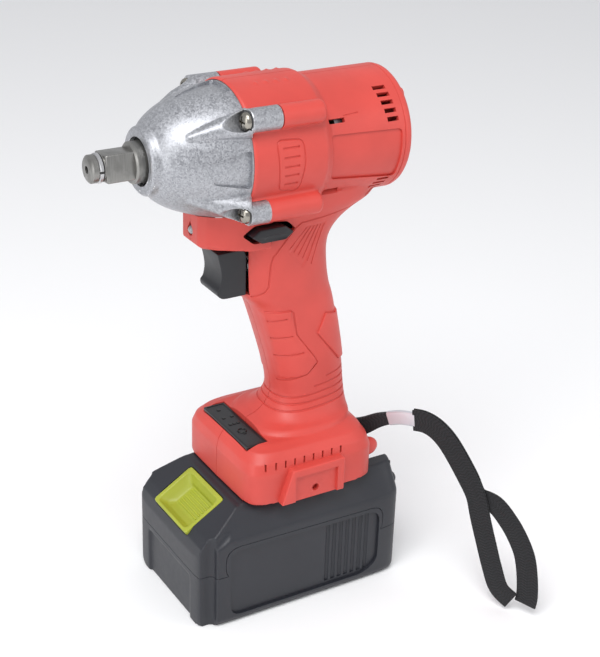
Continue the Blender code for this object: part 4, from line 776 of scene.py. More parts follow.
def chin_block(inset):
    """The block under the hammer case that carries the lamp."""
    front, half, waist, wide = (CHIN_FRONT + inset, CHIN_HALF - inset, CHIN_HALF + 2.5 - inset,
                                GRIP_HALF + 0.9 - inset)
    rings = []
    low = CHIN_BOTTOM + inset
    for z, step, sag in ((low, 2.5, 1.6), (low + 2, 0, 1.6), (AXIS - 21, 0, 0)):
        edge = [(front + step, -half + 3, z), (front + 3 + step, -half, z), (-36, -waist, z),
                (-22, -wide, z - sag), (-12, -wide, z - sag)]
        rings.append(edge + [(x, -y, level) for x, y, level in reversed(edge)])
    return loft("chin", rings)


def case_line():
    """Outer outline of the hammer case: x and radius."""
    nose, case = NOSE_RADIUS, CASE_RADIUS
    curve = [(4, nose + 0.8), (7, nose + 4), (13, nose + 7.8), (21, case - 4.6), (29, case - 2.1),
             (37, case - 0.5), (49, case)]
    smooth = [tuple(point) for point in smooth_line([Vector(point) for point in curve], 40)]
    return [(NOSE + x, r) for x, r in [(0, nose - 1), (1, nose)] + smooth]


def screw_places():
    return [(sy * SCREW_Y, AXIS + sz * SCREW_Z, sz) for sy in (-1, 1) for sz in (1, -1)]


def lobe_rear(up):
    return UPPER_LOBE_REAR if up > 0 else CASE_REAR


def case_room():
    """The hammer case's outline with its gap, which the housing leaves free."""
    profile = [(x, r + GAP) for x, r in case_line()[:-1]] + [(CASE_REAR + 0.45, CASE_RADIUS + GAP)]
    room = turned("case_room", profile)
    for y, z, up in screw_places():
        rear = lobe_rear(up) + (GAP if up > 0 else -GAP)
        add(room, rod("lobe", (-46, y, z), (rear, y, z), LOBE_RADIUS + 0.2, 32))
    return room


def radial_slot(x0, x1, degrees, width, inner, outer):
    """A slot cutter through the barrel at an angle above the left side's middle."""
    turn = math.radians(degrees)
    out = Vector((-math.cos(turn), math.sin(turn)))
    side = Vector((-out.y, out.x))
    rings = []
    for x in (x0, x1):
        corners = [out * r + side * w for r, w in
                   ((inner, -width / 2), (outer, -width / 2), (outer, width / 2), (inner, width / 2))]
        rings.append([(x, c.x, AXIS + c.y) for c in corners])
    return loft("slot", rings)


def housing_body(grain):
    """The united outer shape with soft fillets."""
    body = turned("housing", [(-30, COLLAR_RADIUS - 1), (-29, COLLAR_RADIUS), (COLLAR_REAR - 2, COLLAR_RADIUS),
                              (COLLAR_REAR, COLLAR_RADIUS - 1), (COLLAR_REAR + 2.5, BARREL_RADIUS),
                              (BARREL_REAR + 4, BARREL_RADIUS)])
    add(body, loft("grip", grip_rings(0)), loft("foot", foot_rings(0)), chin_block(0))
    for y, z, _ in screw_places():
        add(body, rod("rib", (-30, y, z), (COLLAR_REAR - 5.5, y, z), LOBE_RADIUS, 40),
            ball("rib_end", (COLLAR_REAR - 5.5, y, z), (2.6, LOBE_RADIUS, LOBE_RADIUS)))
    add(body, ball("strap_lug", (42, -25, 73), (6.5, 4, 5)))
    for i in range(4):
        x = -14 + i * 5.2
        add(body, rod("top_ridge", (x - 3.5, -9, AXIS + 30.6), (x + 1.5, 9, AXIS + 30.6), 1.1, 16))
    return moulded(body, grain, 4)


def inner_room():
    """The hollow inside the housing."""
    room = turned("room", [(CASE_REAR - 1, COLLAR_RADIUS - 2.2), (COLLAR_REAR - WALL, COLLAR_RADIUS - 2.2),
                           (COLLAR_REAR + 0.1, BARREL_RADIUS - WALL), (BARREL_REAR + 6, BARREL_RADIUS - WALL)])
    return add(room, loft("grip_room", grip_rings(WALL, 32, 24)), loft("foot_room", foot_rings(WALL)),
               chin_block(WALL))


def belt_pad():
    """Framed pad on the foot's left side that a belt hook screws to."""
    outer, top = FOOT_HALF + 4.2, FOOT_TOP - 9.3
    pad = plate("pad", [(-16, FOOT_BOTTOM), (19.5, FOOT_BOTTOM), (19.5, top), (-10, top)],
                -outer, -FOOT_HALF + 1.2)
    refine(pad, "BEVEL", width=0.7 * MM, segments=3)
    cut(pad, block("recess", (-8.5, -outer - 1, FOOT_BOTTOM - 1), (15.5, -outer + 1.5, top - 4)),
        rod("screw_hole", (3.6, -outer - 2, 67.5), (3.6, -outer + 6, 67.5), 1.9, 24))
    return pad


def collar_marks(tree, radius):
    """Panel outline, its slits and the side line behind the collar."""
    marks = [side_groove(tree, [(-18.6, 246.3), (-5.3, 245.4), (-4.4, 234.7), (-6.2, 221.2), (-16.6, 222.4)],
                         radius, True, 3.2)]
    for i in range(5):
        z = 242.3 - i * 4.25
        marks.append(side_groove(tree, [(-15.6 + 0.35 * i, z), (-7.2, z)], radius * 1.15))
    marks.append(side_groove(tree, [(19, 251), (27, 251.5)], radius * 0.7))
    return marks


def grip_marks(tree, radius):
    """Lines moulded into the handle's side."""
    edge = [(34, 204.2), (30.5, 202.9), (16, 201), (3.2, 199.9), (0.2, 197.6), (-5.2, 190.9), (-10.4, 184),
            (-11.4, 180), (-11.8, 168.9), (-13.4, 166), (-18.4, 162.9)]
    marks = [side_groove(tree, edge, radius)]
    for i in range(6):
        x = 6.5 + i * 1.9
        marks.append(side_groove(tree, [(x + 0.2, 197), (x - 8.9 + i * 0.6, 187 - i * 2)], radius * 0.8))
    finger = [(-11.6, 154.1), (0, 154.5), (1.6, 153), (3.8, 140.8), (14.8, 126), (16.4, 123),
              (11.1, 117.5), (-2.4, 113.2)]
    marks.append(side_groove(tree, finger, radius))
    for x0, x1, z in ((-10, -1.6, 149.3), (-7.4, 1.8, 139.5), (-4.6, 8.2, 129.4)):
        marks.append(side_groove(tree, [(x0, z - 0.6), (x1, z + 0.8)], radius * 1.3))
    marks.append(side_groove(tree, [(27.5, 147), (19.6, 149.3), (14.9, 139.8), (29.9, 121.2)], radius))
    return marks


def ring_marks(tree, radius):
    """Grooves that wrap round the handle above the foot."""
    marks = []
    for i, (height, start, sweep) in enumerate(
            ((99, 0, 360), (102.4, 0, 360), (106, 0, 360), (109.8, -100, 200), (113.6, -75, 150))):
        marks.append(ring_groove(tree, height, 18, radius * 1.2, start, sweep, 1.2 + 0.3 * i))
    return marks


def foot_vents():
    slots = []
    for i in range(9):
        x = -22.5 + i * 5.25
        slots.append(loft("foot_vent", [[(x - 0.5, y, z - 1.7), (x + 0.5, y, z - 1.7), (x + 1.1, y, z + 1.7),
                                         (x + 0.1, y, z + 1.7)] for y, z in ((-FOOT_HALF - 3, 82.6),
                                                                            (-FOOT_HALF + 6, 82.6))]))
    return slots


def housing_cutters():
    """Crisp openings of the finished housing."""
    tools = []
    for i in range(5):
        tools.append(radial_slot(39.3 + 0.65 * i, 46.2 + 0.45 * i, 54.7 - 7.8 * i, 2.1, 24, 33))
    for i in range(4):
        tools.append(radial_slot(40.5 - 0.8 * i, 47 - 0.6 * i, -38 - 6.4 * i, 1.7, 24, 33))
    tools.append(radial_slot(10.4, 19.3, 29.1, 2.2, 24, 33))
    tools.append(radial_slot(11, 19.5, -42, 2.2, 24, 33))
    label = plate("label", rounded([(10.6, 243.9), (49.4, 242.3), (49.4, 217.6), (12.4, 222.2)], 2.4),
                  -40, -12)
    tools.append(cut(label, turned("label_floor", [(0, BARREL_RADIUS - 0.9), (60, BARREL_RADIUS - 0.9)])))
    tools.extend(foot_vents())
    return both_sides(*tools)


def housing_mouths():
    """Openings for trigger, lever, lamp, control panel, strap and terminals."""
    lamp = rod("lamp_mouth", (-50, 0, 198.2), (-38, 0, 198.2), 2.6, 32)
    add(lamp, loft("lamp_point", [[(x, -2.1, 199.5), (x, 2.1, 199.5), (x, 0.3, 202.6), (x, -0.3, 202.6)]
                                  for x in (-50, -38)]))
    lever = plate("lever_mouth", rounded([(-26.9, 197.3), (-21.6, 202), (-4.6, 202), (0.4, 197.5),
                                          (-4.2, 193), (-21.8, 193)], 1.5), -30, 30)
    return [
        block("trigger_mouth", (-26, -9.35, 163.6), (-14, 9.35, 188)), lever,
        block("panel_seat", (-26.9, -23, 87.4), (-14.6, 23, 94)),
        block("panel_window", (-24, -20, 82), (-17, 20, 90)),
        block("strap_slot", (36, -16, 70), (46, -4, 82)),
        block("terminal_window", (1, -13.5, 48), (27, 13.5, 66.6)), lamp]


class WRENCH_OT_housing(bpy.types.Operator):
    """Adds the two halves of the moulded housing"""
    bl_idname = "wrench.housing"
    bl_label = "Housing halves"

    def execute(self, context):
        sizes = context.scene.wrench_sizes
        body = housing_body(sizes.moulding_grain)
        emboss(body, [(27.5, 147), (19.6, 149.3), (14.9, 139.8), (29.9, 121.2), (45, 118), (45, 150)], 0.9)
        emboss(body, [(-20, 154), (0, 154.5), (3.8, 140.8), (16.2, 123.9), (11.1, 117.5), (-20, 112)], 0.6)
        emboss(body, [(6.5, 198), (17, 198), (5.1, 176.4), (-2.2, 185.4)], -0.35)
        tree = surface_of(body)
        radius = sizes.groove_radius
        grooves = both_sides(*collar_marks(tree, radius), *grip_marks(tree, radius))
        rings = ring_marks(tree, radius)
        add(body, belt_pad())
        cut(body, case_room())
        cut(body, block("rear", (BARREL_REAR, -40, 190), (BARREL_REAR + 20, 40, 275)))
        for groove in grooves + rings:
            cut(body, groove)
        cut(body, inner_room())
        rail = block("neck", (-22, -RAIL_NECK, RAIL_SHELF - 1), (40, RAIL_NECK, FOOT_BOTTOM + 1))
        add(rail, block("flange", (-22, -RAIL_HALF, RAIL_BOTTOM), (40, RAIL_HALF, RAIL_SHELF)))
        add(body, rail)
        cut(body, *housing_cutters())
        cut(body, *housing_mouths())
        for y, z, _ in screw_places():
            cut(body, rod("screw_room", (-23, y, z), (-5, y, z), 2.3, 20))
        for name, side in (("left_housing", -1), ("right_housing", 1)):
            half = duplicate(body)
            near, far = side * GAP / 2, side * 100
            combine(half, block("side", (-200, min(near, far), -50), (200, max(near, far), 350)), "INTERSECT")
            hand_over(half, name + "_shell", LOOKS["red"], "tool", "red_plastic", name)
        bpy.data.objects.remove(body, do_unlink=True)
        return {"FINISHED"}


class WRENCH_OT_rear_cap(bpy.types.Operator):
    """Adds the closed end of the motor barrel"""
    bl_idname = "wrench.rear_cap"
    bl_label = "Rear cap"

    def execute(self, context):
        start, end, r = BARREL_REAR + GAP, CAP_REAR, BARREL_RADIUS
        body = turned("cap", [(start, r - 0.5), (start + 0.4, r), (end - 2.6, r), (end - 1.5, r - 0.4),
                              (end - 0.7, r - 1.1), (end - 0.2, r - 2.1), (end, r - 3.4), (end, 12),
                              (end + 0.4, 11), (end + 0.4, 3)])
        cut(body, turned("room", [(start - 2, r - 3), (start + 1.6, r - 3), (start + 2.2, r - 4)], 96))
        add(body, hollow_turned("cup", [(start - 3, 10.3), (start + 3, 10.3)], [(start - 4, 8.3), (start, 8.3)], 64))
        for y in (-14, 14):
            add(body, rod("boss", (end - 2, y, AXIS + 18.4), (end + 1.6, y, AXIS + 18.4), 3.2, 32))
        for i in range(4):
            z = AXIS - 12 + i * 5.5
            cut(body, block("louvre", (end - 0.6, -16, z - 0.8), (end + 1, 16, z + 0.8)))
        hand_over(body, "rear_cap_shell", LOOKS["red"], "tool", "red_plastic", "rear_cap")
        return {"FINISHED"}


# ---- hammer case and drive ----------------------------------------------------------
def case_pocket(degrees):
    """A shallow tapering pocket in the case's skin at an angle above the left side."""
    floor = [(x, r + 0.9 - 3.4 * (x - NOSE) / 49) for x, r in case_line()]
    pocket = plate("pocket", rounded([(-52, 3.5), (-30.5, 8.4), (-30.2, -9.6), (-47, -6.2)], 1.6), -50, -8)
    moved(pocket, Matrix.Rotation(math.radians(degrees), 4, "X"), Matrix.Translation((0, 0, AXIS * MM)))
    return cut(pocket, turned("pocket_floor", floor, 96))


def case_solid(grain):
    body = turned("case", case_line() + [(CASE_REAR + 3, CASE_RADIUS)])
    for y, z, up in screw_places():
        out = Vector((y, z - AXIS)).normalized()
        front, seat = out * 22.5, out * 33.4
        add(body, rod("lobe", (LOBE_FRONT, y, z), (lobe_rear(up) + 3, y, z), LOBE_RADIUS, 40),
            rod("taper", (-56, front.x, AXIS + front.y), (LOBE_FRONT + 1.5, seat.x, AXIS + seat.y), 2.2, 40, 6.8))
    for y, z, up in screw_places():
        out = Vector((y, z - AXIS)).normalized() * 37.2
        cut(body, rod("scoop", (-47, out.x, AXIS + out.y), (LOBE_FRONT, y, z), 3.2, 40, 5.0))
    moulded(body, grain, 2)
    for degrees in (0, -90, 180):
        cut(body, case_pocket(degrees))
    return body


class WRENCH_OT_hammer_case(bpy.types.Operator):
    """Adds the cast hammer case"""
    bl_idname = "wrench.hammer_case"
    bl_label = "Hammer case"

    def execute(self, context):
        body = case_solid(context.scene.wrench_sizes.cast_grain)
        cut(body, block("rear", (UPPER_LOBE_REAR - 0.3, -60, 190), (0, 60, 290)))
        behind = turned("behind", [(CASE_REAR, CASE_RADIUS + 0.6), (0, CASE_RADIUS + 0.6)])
        cut(body, behind)
        for y, z, up in screw_places():
            if up < 0:
                cut(body, rod("lower_rear", (CASE_REAR, y, z), (0, y, z), 7, 24))
        nose = turned("nose", [(NOSE, NOSE_RADIUS - 1.2), (NOSE + 1.1, NOSE_RADIUS), (NOSE + 3, NOSE_RADIUS),
                               (NOSE + 6, 14)])
        spigot = turned("spigot", [(CASE_REAR - 1, 30), (CASE_REAR - 0.2, 29.7), (-11.5, 29.7)])
        add(body, nose, spigot)
        room = turned("chamber", [(-46, 20), (-44, 25.3), (-36, 27.1), (-11.5, 28.3), (-9, 28.3)])
        bore = turned("bore", [(NOSE - 3, 11.15), (NOSE + 2.2, 11.15), (NOSE + 2.2, 12.15), (-45, 12.15)])
        cut(body, room, bore)
        for y, z, _ in screw_places():
            cut(body, rod("hole", (LOBE_FRONT - 1, y, z), (-10, y, z), 2.3, 24))
        hand_over(body, "hammer_case_shell", LOOKS["cast"], "tool", "cast_aluminium", "hammer_case")
        return {"FINISHED"}


class WRENCH_OT_case_screws(bpy.types.Operator):
    """Adds the four pan-head screws of the hammer case"""
    bl_idname = "wrench.case_screws"
    bl_label = "Case screws"

    def execute(self, context):
        seat = LOBE_FRONT - GAP
        for number, (y, z, _) in enumerate(screw_places(), 1):
            screw = turned("screw", [(seat - 3, 0.6), (seat - 2.9, 1.8), (seat - 2.5, 3), (seat - 1.6, 3.9),
                                     (seat - 0.8, 4.2), (seat - 0.1, 4.2), (seat, 4), (seat, 2), (-7, 2)],
                           48, y, z)
            cut(screw, block("slot", (seat - 4, y - 0.45, z - 2.6), (seat - 1.7, y + 0.45, z + 2.6)),
                block("cross", (seat - 4, y - 2.6, z - 0.45), (seat - 1.7, y + 2.6, z + 0.45)))
            hand_over(screw, "case_screw_head_%d" % number, LOOKS["screw"], "tool", "dark_steel",
                      "case_screw_%d" % number)
        return {"FINISHED"}


class WRENCH_OT_drive(bpy.types.Operator):
    """Adds the square drive and its friction ring"""
    bl_idname = "wrench.drive"
    bl_label = "Square drive"

    def execute(self, context):
        groove, rear, end = TIP + 3.4, TIP + 6.0, NOSE - 4.6
        body = turned("anvil", [(TIP, 5.0), (TIP + 0.4, 5.7), (TIP + 1.0, 6.35), (groove, 6.35), (groove, 5.05),
                                (rear, 5.05), (rear, 6.35), (end, 6.35), (end, 8.7), (end + 0.8, 9.5),
                                (-47, 9.5), (-41, 9.5)], 96)
        square = block("square", (rear + 0.6, -6.35, AXIS - 6.35), (end + 1, 6.35, AXIS + 6.35))
        refine(square, "BEVEL", width=0.9 * MM, segments=4)
        middle = Matrix.Translation((0, 0, AXIS * MM))
        moved(square, middle.inverted(), Matrix.Rotation(math.radians(-6), 4, "X"), middle)
        add(body, square)
        for side in (-1, 1):
            inner, outer = sorted((side * 8, side * 18))
            add(body, block("lug", (-47, inner, AXIS - 6), (-41, outer, AXIS + 6)))
        cut(body, rod("end_hole", (TIP - 1, 0, AXIS), (-52, 0, AXIS), 1.7, 32),
            rod("pin_hole", (-52, 0, AXIS), (-40, 0, AXIS), 5.35, 32))
        hand_over(body, "square_drive", LOOKS["drive"], "anvil", "drive_steel", "anvil")
        ring = hollow_turned("ring", [(groove + 0.3, 6.2), (groove + 0.7, 6.75), (groove + 1.9, 6.75),
                                      (groove + 2.3, 6.2)], [(groove - 1, 5.35), (groove + 4, 5.35)], 64)
        cut(ring, block("split", (TIP, -8, AXIS - 0.6), (NOSE, 0, AXIS + 0.6)))
        hand_over(ring, "socket_ring", LOOKS["bright"], "anvil", "bright_steel", "friction_ring")
        return {"FINISHED"}


# ---- controls -----------------------------------------------------------------------
class WRENCH_OT_trigger(bpy.types.Operator):
    """Adds the trigger"""
    bl_idname = "wrench.trigger"
    bl_label = "Trigger"

    def execute(self, context):
        rear, top, bottom = -20.6, 187.6, 164.0
        front = smooth_line([(rear - 15.2, top - 0.3), (rear - 14.6, top - 3), (rear - 13.4, top - 8),
                             (rear - 13, top - 12.5), (rear - 13.8, top - 17), (rear - 15.2, bottom + 4.6),
                             (rear - 14.8, bottom + 2.2), (rear - 12.6, bottom + 0.4), (rear - 10, bottom)], 26)
        outline = [tuple(point) for point in front] + [(rear, bottom), (rear, top - 3.5), (rear - 1.2, top - 0.9),
                                                       (rear - 3.8, top)]
        body = plate("trigger", outline, -9, 9)
        refine(body, "BEVEL", width=2.4 * MM, segments=5, limit_method="ANGLE", angle_limit=math.radians(60))
        add(body, rod("stem", (rear - 1, 0, 175.8), (-12.2, 0, 175.8), 1.8, 32))
        hand_over(body, "trigger_lever", LOOKS["controls"], "trigger", "black_plastic", "trigger")
        return {"FINISHED"}


class WRENCH_OT_direction_lever(bpy.types.Operator):
    """Adds the direction lever that crosses the handle"""
    bl_idname = "wrench.direction_lever"
    bl_label = "Direction lever"

    def execute(self, context):
        low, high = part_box("direction_lever")
        z0, z1 = low.z / MM, high.z / MM
        middle = (z0 + z1) / 2
        front, rear, half = -24.3, -2.2, 21.0
        outline = [(front, middle + 0.2), (front + 4.2, z1), (rear - 4.8, z1), (rear, middle - 0.2),
                   (rear - 4.2, z0), (front + 5, z0)]
        body = plate("lever", outline, -half, half)
        refine(body, "BEVEL", width=0.9 * MM, segments=4)
        add(body, block("arm", (rear - 8, -3, z0 + 1), (8, 3, z1 - 1)),
            rod("eye", (8, 0, z0 + 1), (8, 0, z1 - 1), 3.8, 40))
        cut(body, rod("hole", (8, 0, z0 - 1), (8, 0, z1 + 1), 2.15, 32))
        for side in (-1, 1):
            face = side * (half + 0.4)
            cut(body, ball("thumb", (-12, face + side * 0.5, z0 + 1.6), (7.5, 1.7, 2.6)))
        hand_over(body, "direction_bar", LOOKS["controls"], "direction_lever", "black_plastic",
                  "direction_lever")
        return {"FINISHED"}


class WRENCH_OT_lamp(bpy.types.Operator):
    """Adds the work lamp's lens"""
    bl_idname = "wrench.lamp"
    bl_label = "Work lamp"

    def execute(self, context):
        z = (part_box("work_lamp")[0].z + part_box("work_lamp")[1].z) / 2 / MM
        profile = [(CHIN_FRONT - 0.7, 0.3), (CHIN_FRONT - 0.6, 0.9), (CHIN_FRONT - 0.2, 1.5), (CHIN_FRONT + 0.4, 1.95),
                   (CHIN_FRONT + 1.1, 2.2), (CHIN_FRONT + 6.5, 2.2)]
        body = turned("lamp", profile, 40, z=z)
        hand_over(body, "lamp_lens", LOOKS["lens"], "tool", "clear_lens", "work_lamp")
        return {"FINISHED"}


class WRENCH_OT_control_panel(bpy.types.Operator):
    """Adds the control panel with its marks"""
    bl_idname = "wrench.control_panel"
    bl_label = "Control panel"

    def execute(self, context):
        low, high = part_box("control_panel")
        low, high = low / MM, high / MM
        body = block("panel", low, high, 0.5)
        cut(body, block("field", (low.x + 1.1, low.y + 1.2, high.z - 0.25), (high.x - 1.1, high.y - 1.2, high.z + 1)))
        hand_over(body, "panel_keys", LOOKS["film"], "tool", "panel_film", "control_panel")
        marks = None
        for x, y in ((-21.2, 16.5), (-18.2, 8), (-22.8, 8), (-22.8, 0.8), (-20.6, 0.8), (-18.4, 0.8)):
            mark = block("mark", (x - 0.85, y - 0.85, high.z - 0.4), (x + 0.85, y + 0.85, high.z + 0.02), 0.15)
            marks = add(marks, mark) if marks else mark
        bulb = hollow_ring((-20.6, -7.2, high.z - 0.2), 2.1, 0.4)
        add(marks, bulb, block("bulb_base", (-21.3, -10.8, high.z - 0.4), (-19.9, -9.3, high.z + 0.02), 0.15))
        hand_over(marks, "panel_marks", LOOKS["ink"], "tool", "panel_film")
        return {"FINISHED"}


def hollow_ring(centre, radius, thickness):
    clear_selection()
    bpy.ops.mesh.primitive_torus_add(location=Vector(centre) * MM, major_radius=radius * MM,
                                     minor_radius=thickness * MM, major_segments=40, minor_segments=10)
    return settle("ring")


# ---- battery ------------------------------------------------------------------------
def battery_rings(inset, levels):
    half, side = BATTERY_HALF_LENGTH - inset, BATTERY_HALF - inset
    return [oval(-half, half, side - narrow, z, 13, 128) for z, narrow in levels]


def beside_front(half, rear):
    """Cutters that narrow the battery's front end to a half width, ahead of rear."""
    corner = block("beside_front", (-70, -60, -10), (rear, -half, 75), 3)
    return both_sides(corner)


def over_slope(drop):
    """Everything over the battery's sloping front, lowered by drop."""
    front, deck, sky = -BATTERY_HALF_LENGTH, DECK - drop, DECK + 40
    side = [(-31.5, sky), (-31.5, deck - 0.3), (-35, deck - 0.8), (front + 5, deck - 11.8),
            (front + 1.6, deck - 16.3), (front - 0.5, deck - 23.8), (front - 10, deck - 23.8), (front - 10, sky)]
    return plate("over_slope", side, -60, 60)


def side_opening(side, grow):
    """The rounded opening in the upper shell's side that the lower shell's wall fills."""
    outline = rounded([(-45.2 - grow, SEAM - 3), (-45.2 - grow, 45 + grow), (46.5 + grow, 43.2 + grow),
                       (46.5 + grow, SEAM - 3)], 8.5)
    y0, y1 = side * (BATTERY_HALF - 3.7), side * (BATTERY_HALF + 3)
    return plate("opening", outline, min(y0, y1), max(y0, y1))


def battery_body(grain):
    body = loft("battery", battery_rings(0, [
        (0, 2.5), (1, 1.4), (2.5, 0.4), (4, 0), (25, 0), (SHOULDER - 2, 0), (SHOULDER, 0.4), (SHOULDER + 2.4, 2.2),
        (SHOULDER + 6, 5), (SHOULDER + 9.5, 7.6), (DECK, 10.5)]))
    cut(body, over_slope(0))
    crease = rod("crease", (-52, -39.5, 47), (-37, -37, 58), 3.6, 40)
    cut(body, *beside_front(33, -50), *both_sides(crease))
    cut(body, block("front_recess", (-60, -23, -3), (-56.6, 23, 25.5), 1))
    return moulded(body, grain, 5)


def side_detail(side):
    """Recess, upright flutes and lower ledge of the side panel."""
    y0, y1 = side * (BATTERY_HALF - 1.5), side * (BATTERY_HALF + 2)
    outline = rounded([(-42.6, 4.6), (-42.6, 42.8), (44.4, 41), (44.4, 10), (36, 4.6)], 7)
    recess = plate("recess", outline, min(y0, y1), max(y0, y1))
    for i in range(7):
        x = 14 + i * 3.9
        add(recess, rod("flute", (x, side * (BATTERY_HALF - 1.1), 6.5), (x, side * (BATTERY_HALF - 1.1), 40), 1.25, 20))
    return recess


def battery_room():
    room = loft("room", battery_rings(3.9, [(SEAM - 10, 0), (SHOULDER - 2, 0), (SHOULDER + 6, 6), (DECK - 2.4, 11)]))
    return cut(room, over_slope(3.2), *beside_front(30.4, -47))


def slope_frame():
    """Middle, inward and downhill direction of the button's slope."""
    top, foot = Vector((-36.5, 0, DECK - 2)), Vector((-BATTERY_HALF_LENGTH + 3.6, 0, DECK - 13.2))
    downhill = (foot - top).normalized()
    return (top + foot) / 2, Vector((-downhill.z, 0, downhill.x)), downhill


def slope_block(name, layers, corner=0.0):
    """A block on the button's slope; each layer is depth, half length, half width and downhill shift."""
    middle, inward, downhill = slope_frame()
    rings = []
    for depth, half_along, half_wide, shift in layers:
        centre = middle + inward * depth + downhill * shift
        outline = [(-half_along, -half_wide), (half_along, -half_wide), (half_along, half_wide), (-half_along, half_wide)]
        if corner:
            outline = rounded(outline, corner)
        rings.append([centre + downhill * a + Vector((0, b, 0)) for a, b in outline])
    return loft(name, rings)


class WRENCH_OT_battery(bpy.types.Operator):
    """Adds the battery's upper and lower shells"""
    bl_idname = "wrench.battery"
    bl_label = "Battery shells"

    def execute(self, context):
        whole = battery_body(context.scene.wrench_sizes.moulding_grain)
        half, wide = BUTTON_HALF_LENGTH + 0.35, BUTTON_HALF_WIDTH + 0.35
        lower = duplicate(whole)
        upper = whole
        cut(upper, battery_room())
        channel = block("channel_block", (-24.4, -RAIL_HALF - 2.4, RAIL_BOTTOM - 2.4), (57, RAIL_HALF + 2.4, DECK - 1))
        add(upper, channel)
        cut(upper, block("wide_channel", (-22.4, -RAIL_HALF - 0.4, RAIL_BOTTOM - 0.4), (70, RAIL_HALF + 0.4, RAIL_SHELF + 0.4)),
            block("narrow_channel", (-22.4, -RAIL_NECK - 0.4, RAIL_SHELF), (70, RAIL_NECK + 0.4, DECK + 3)))
        for y in (-8, 8):
            cut(upper, block("contact_slot", (5, y - 2.6, RAIL_BOTTOM - 5), (70, y + 2.6, RAIL_BOTTOM)))
        cut(upper, block("below", (-90, -90, -20), (90, 90, SEAM + 0.15)))
        cut(upper, side_opening(-1, 0.15), side_opening(1, 0.15))
        cut(upper, slope_block("pocket", [(-6, half, wide, BUTTON_SHIFT), (13.5, half, wide, BUTTON_SHIFT)], 2.5))
        for side in (-1, 1):
            y = side * 25
            add(upper, ball("rear_boss", (57.4, y, 50), (3.6, 4.2, 3.8)))
        hand_over(upper, "battery_top", LOOKS["charcoal"], "battery", "charcoal_plastic", "battery_upper_shell")
        room = loft("lower_room", battery_rings(3.9, [(2.2, 2), (4, 0), (70, 0)]))
        cut(room, *beside_front(30.4, -47))
        cut(lower, room)
        top = block("above", (-90, -90, SEAM - 0.15), (90, 90, 200))
        cut(top, side_opening(-1, -0.15), side_opening(1, -0.15))
        cut(lower, top)
        cut(lower, side_detail(-1), side_detail(1))
        hand_over(lower, "battery_base", LOOKS["charcoal"], "battery", "charcoal_plastic", "battery_lower_shell")
        return {"FINISHED"}


class WRENCH_OT_release_button(bpy.types.Operator):
    """Adds the scooped release button"""
    bl_idname = "wrench.release_button"
    bl_label = "Release button"

    def execute(self, context):
        middle, inward, downhill = slope_frame()
        half, wide, shift = BUTTON_HALF_LENGTH, BUTTON_HALF_WIDTH, BUTTON_SHIFT
        body = slope_block("button", [(-0.4, half, wide, shift), (9, half, wide, shift)], 2.2)
        cut(body, slope_block("scoop", [(-2, half - 1.4, wide - 1.8, shift + 0.4),
                                        (0.4, half - 2.2, wide - 2.6, shift + 0.4),
                                        (3.4, half - 4.4, wide - 4.8, shift + 0.8),
                                        (5.4, half - 6.4, wide - 6.6, shift - 0.6)], 3))
        moulded(body, 0.45 * MM, 3)
        for i in range(5):
            centre = middle + inward * 5.2 + downhill * (shift - 5 + 2.2 * i)
            add(body, rod("rib", centre + Vector((0, -9.5, 0)), centre + Vector((0, 9.5, 0)), 0.45, 12))
        hand_over(body, "battery_button", LOOKS["lime"], "release_button", "lime_plastic", "release_button")
        return {"FINISHED"}


# ---- inner parts and stage ----------------------------------------------------------
INNER_LOOKS = {
    "forged": ("hammer", "spindle", "ring_gear", "planet_gear_1", "planet_gear_2", "planet_gear_3"),
    "bright": ("cam_ball_1", "cam_ball_2", "hammer_spring", "spindle_bearing", "front_motor_bearing",
               "rear_motor_bearing", "rotor_shaft", "trigger_spring", "button_spring"),
    "dark_steel": ("housing_screw_1", "housing_screw_2", "housing_screw_3", "housing_screw_4"),
    "lamination": ("rotor_core", "stator"),
    "copper": ("stator_windings",),
    "bronze": ("nose_bushing", "battery_clips"),
    "rubber": ("nose_seal",),
    "cast": ("gear_plate",),
    "black": ("fan", "switch_body", "terminal_block", "left_cell_holder", "right_cell_holder"),
    "board": ("sensor_board", "control_board", "battery_board"),
    "cell": ("cell_pair_1", "cell_pair_2", "cell_pair_3", "cell_pair_4", "cell_pair_5"),
}


class WRENCH_OT_inner_parts(bpy.types.Operator):
    """Gives the parts inside their materials"""
    bl_idname = "wrench.inner_parts"
    bl_label = "Inner parts"

    def execute(self, context):
        for look, nodes in INNER_LOOKS.items():
            for node in nodes:
                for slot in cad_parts[node].material_slots:
                    slot.material = LOOKS[look]
        return {"FINISHED"}


def soft_light(name, place, aim, size, power):
    clear_selection()
    place, aim = Vector(place), Vector(aim)
    bpy.ops.object.light_add(type="AREA", location=place,
                             rotation=(aim - place).to_track_quat("-Z", "Y").to_euler())
    light = bpy.context.active_object
    light.name = name
    light.data.shape = "RECTANGLE"
    light.data.size, light.data.size_y = size
    light.data.energy = power


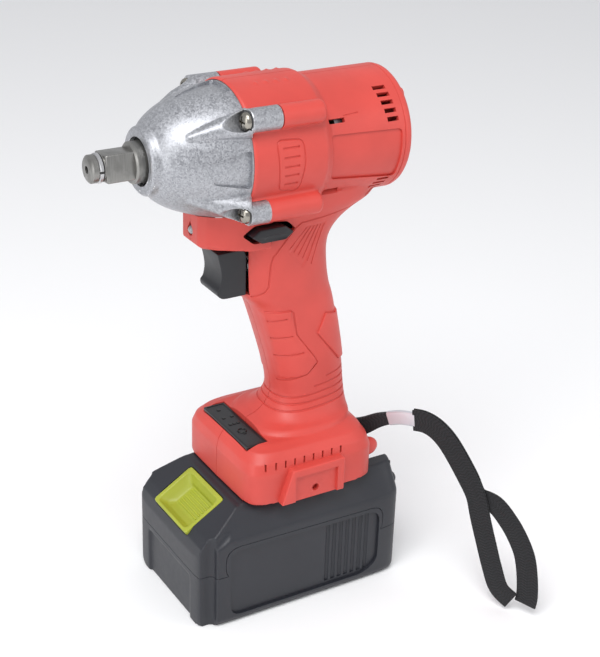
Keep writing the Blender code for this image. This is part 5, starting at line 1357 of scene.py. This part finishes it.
class WRENCH_OT_stage(bpy.types.Operator):
    """Adds the floor, the lights and the camera"""
    bl_idname = "wrench.stage"
    bl_label = "Stage"

    def execute(self, context):
        clear_selection()
        bpy.ops.mesh.primitive_plane_add(size=8, location=(0, 0, 0))
        floor = bpy.context.active_object
        floor.name = "floor"
        floor.data.materials.append(paper("floor_paper"))
        world = bpy.data.worlds.new("studio")
        context.scene.world = world
        world.use_nodes = True
        world.node_tree.nodes["Background"].inputs["Color"].default_value = (0.96, 0.97, 1, 1)
        world.node_tree.nodes["Background"].inputs["Strength"].default_value = 0.62
        soft_light("key", (-0.5, -0.5, 1.3), (0, 0, 0.12), (0.8, 0.8), 13)
        soft_light("left", (-1.1, -0.3, 0.5), (0, 0, 0.15), (0.5, 0.9), 3)
        soft_light("right", (0.9, -0.9, 0.6), (0, 0, 0.12), (0.5, 0.9), 2.2)
        place, aim = Vector((-0.325, -0.552, 0.447)), Vector((0.0109, -0.0074, 0.1389))
        ahead = (aim - place).normalized()
        right = ahead.cross(Vector((0, 0, 1))).normalized()
        up = right.cross(ahead)
        c, s = math.cos(math.radians(1.99)), math.sin(math.radians(1.99))
        right, up = right * c + up * s, up * c - right * s
        bpy.ops.object.camera_add(location=place)
        camera = bpy.context.active_object
        camera.matrix_world = Matrix((
            (right.x, up.x, -ahead.x, place.x), (right.y, up.y, -ahead.y, place.y),
            (right.z, up.z, -ahead.z, place.z), (0, 0, 0, 1)))
        camera.data.sensor_fit = "HORIZONTAL"
        camera.data.sensor_width = 36
        camera.data.lens = 86.9
        camera.data.clip_start = 0.01
        context.scene.camera = camera
        context.scene.view_settings.view_transform = "Standard"
        return {"FINISHED"}


PIECES = (
    WRENCH_OT_stage, WRENCH_OT_strap, WRENCH_OT_housing, WRENCH_OT_rear_cap, WRENCH_OT_hammer_case,
    WRENCH_OT_case_screws, WRENCH_OT_drive, WRENCH_OT_trigger, WRENCH_OT_direction_lever, WRENCH_OT_lamp,
    WRENCH_OT_control_panel, WRENCH_OT_battery, WRENCH_OT_release_button, WRENCH_OT_inner_parts)


class WRENCH_PT_sidebar(bpy.types.Panel):
    """Lists the wrench's pieces, sizes and colours"""
    bl_idname = "WRENCH_PT_sidebar"
    bl_label = "Impact wrench"
    bl_space_type = "VIEW_3D"
    bl_region_type = "UI"
    bl_category = "Impact wrench"

    def draw(self, context):
        for group in (context.scene.wrench_sizes, context.scene.wrench_colours):
            for name in group.bl_rna.properties.keys():
                if name not in ("rna_type", "name"):
                    self.layout.prop(group, name)
        for piece in PIECES:
            self.layout.operator(piece.bl_idname)


CLASSES = (WrenchSizes, WrenchColours, *PIECES, WRENCH_PT_sidebar)


def register():
    for made in CLASSES:
        bpy.utils.register_class(made)
    bpy.types.Scene.wrench_sizes = bpy.props.PointerProperty(type=WrenchSizes)
    bpy.types.Scene.wrench_colours = bpy.props.PointerProperty(type=WrenchColours)


def unregister():
    del bpy.types.Scene.wrench_colours
    del bpy.types.Scene.wrench_sizes
    for made in reversed(CLASSES):
        bpy.utils.unregister_class(made)


def main():
    register()
    make_looks()
    for piece in PIECES:
        group, action = piece.bl_idname.split(".")
        getattr(getattr(bpy.ops, group), action)()


if __name__ == "__main__":
    main()
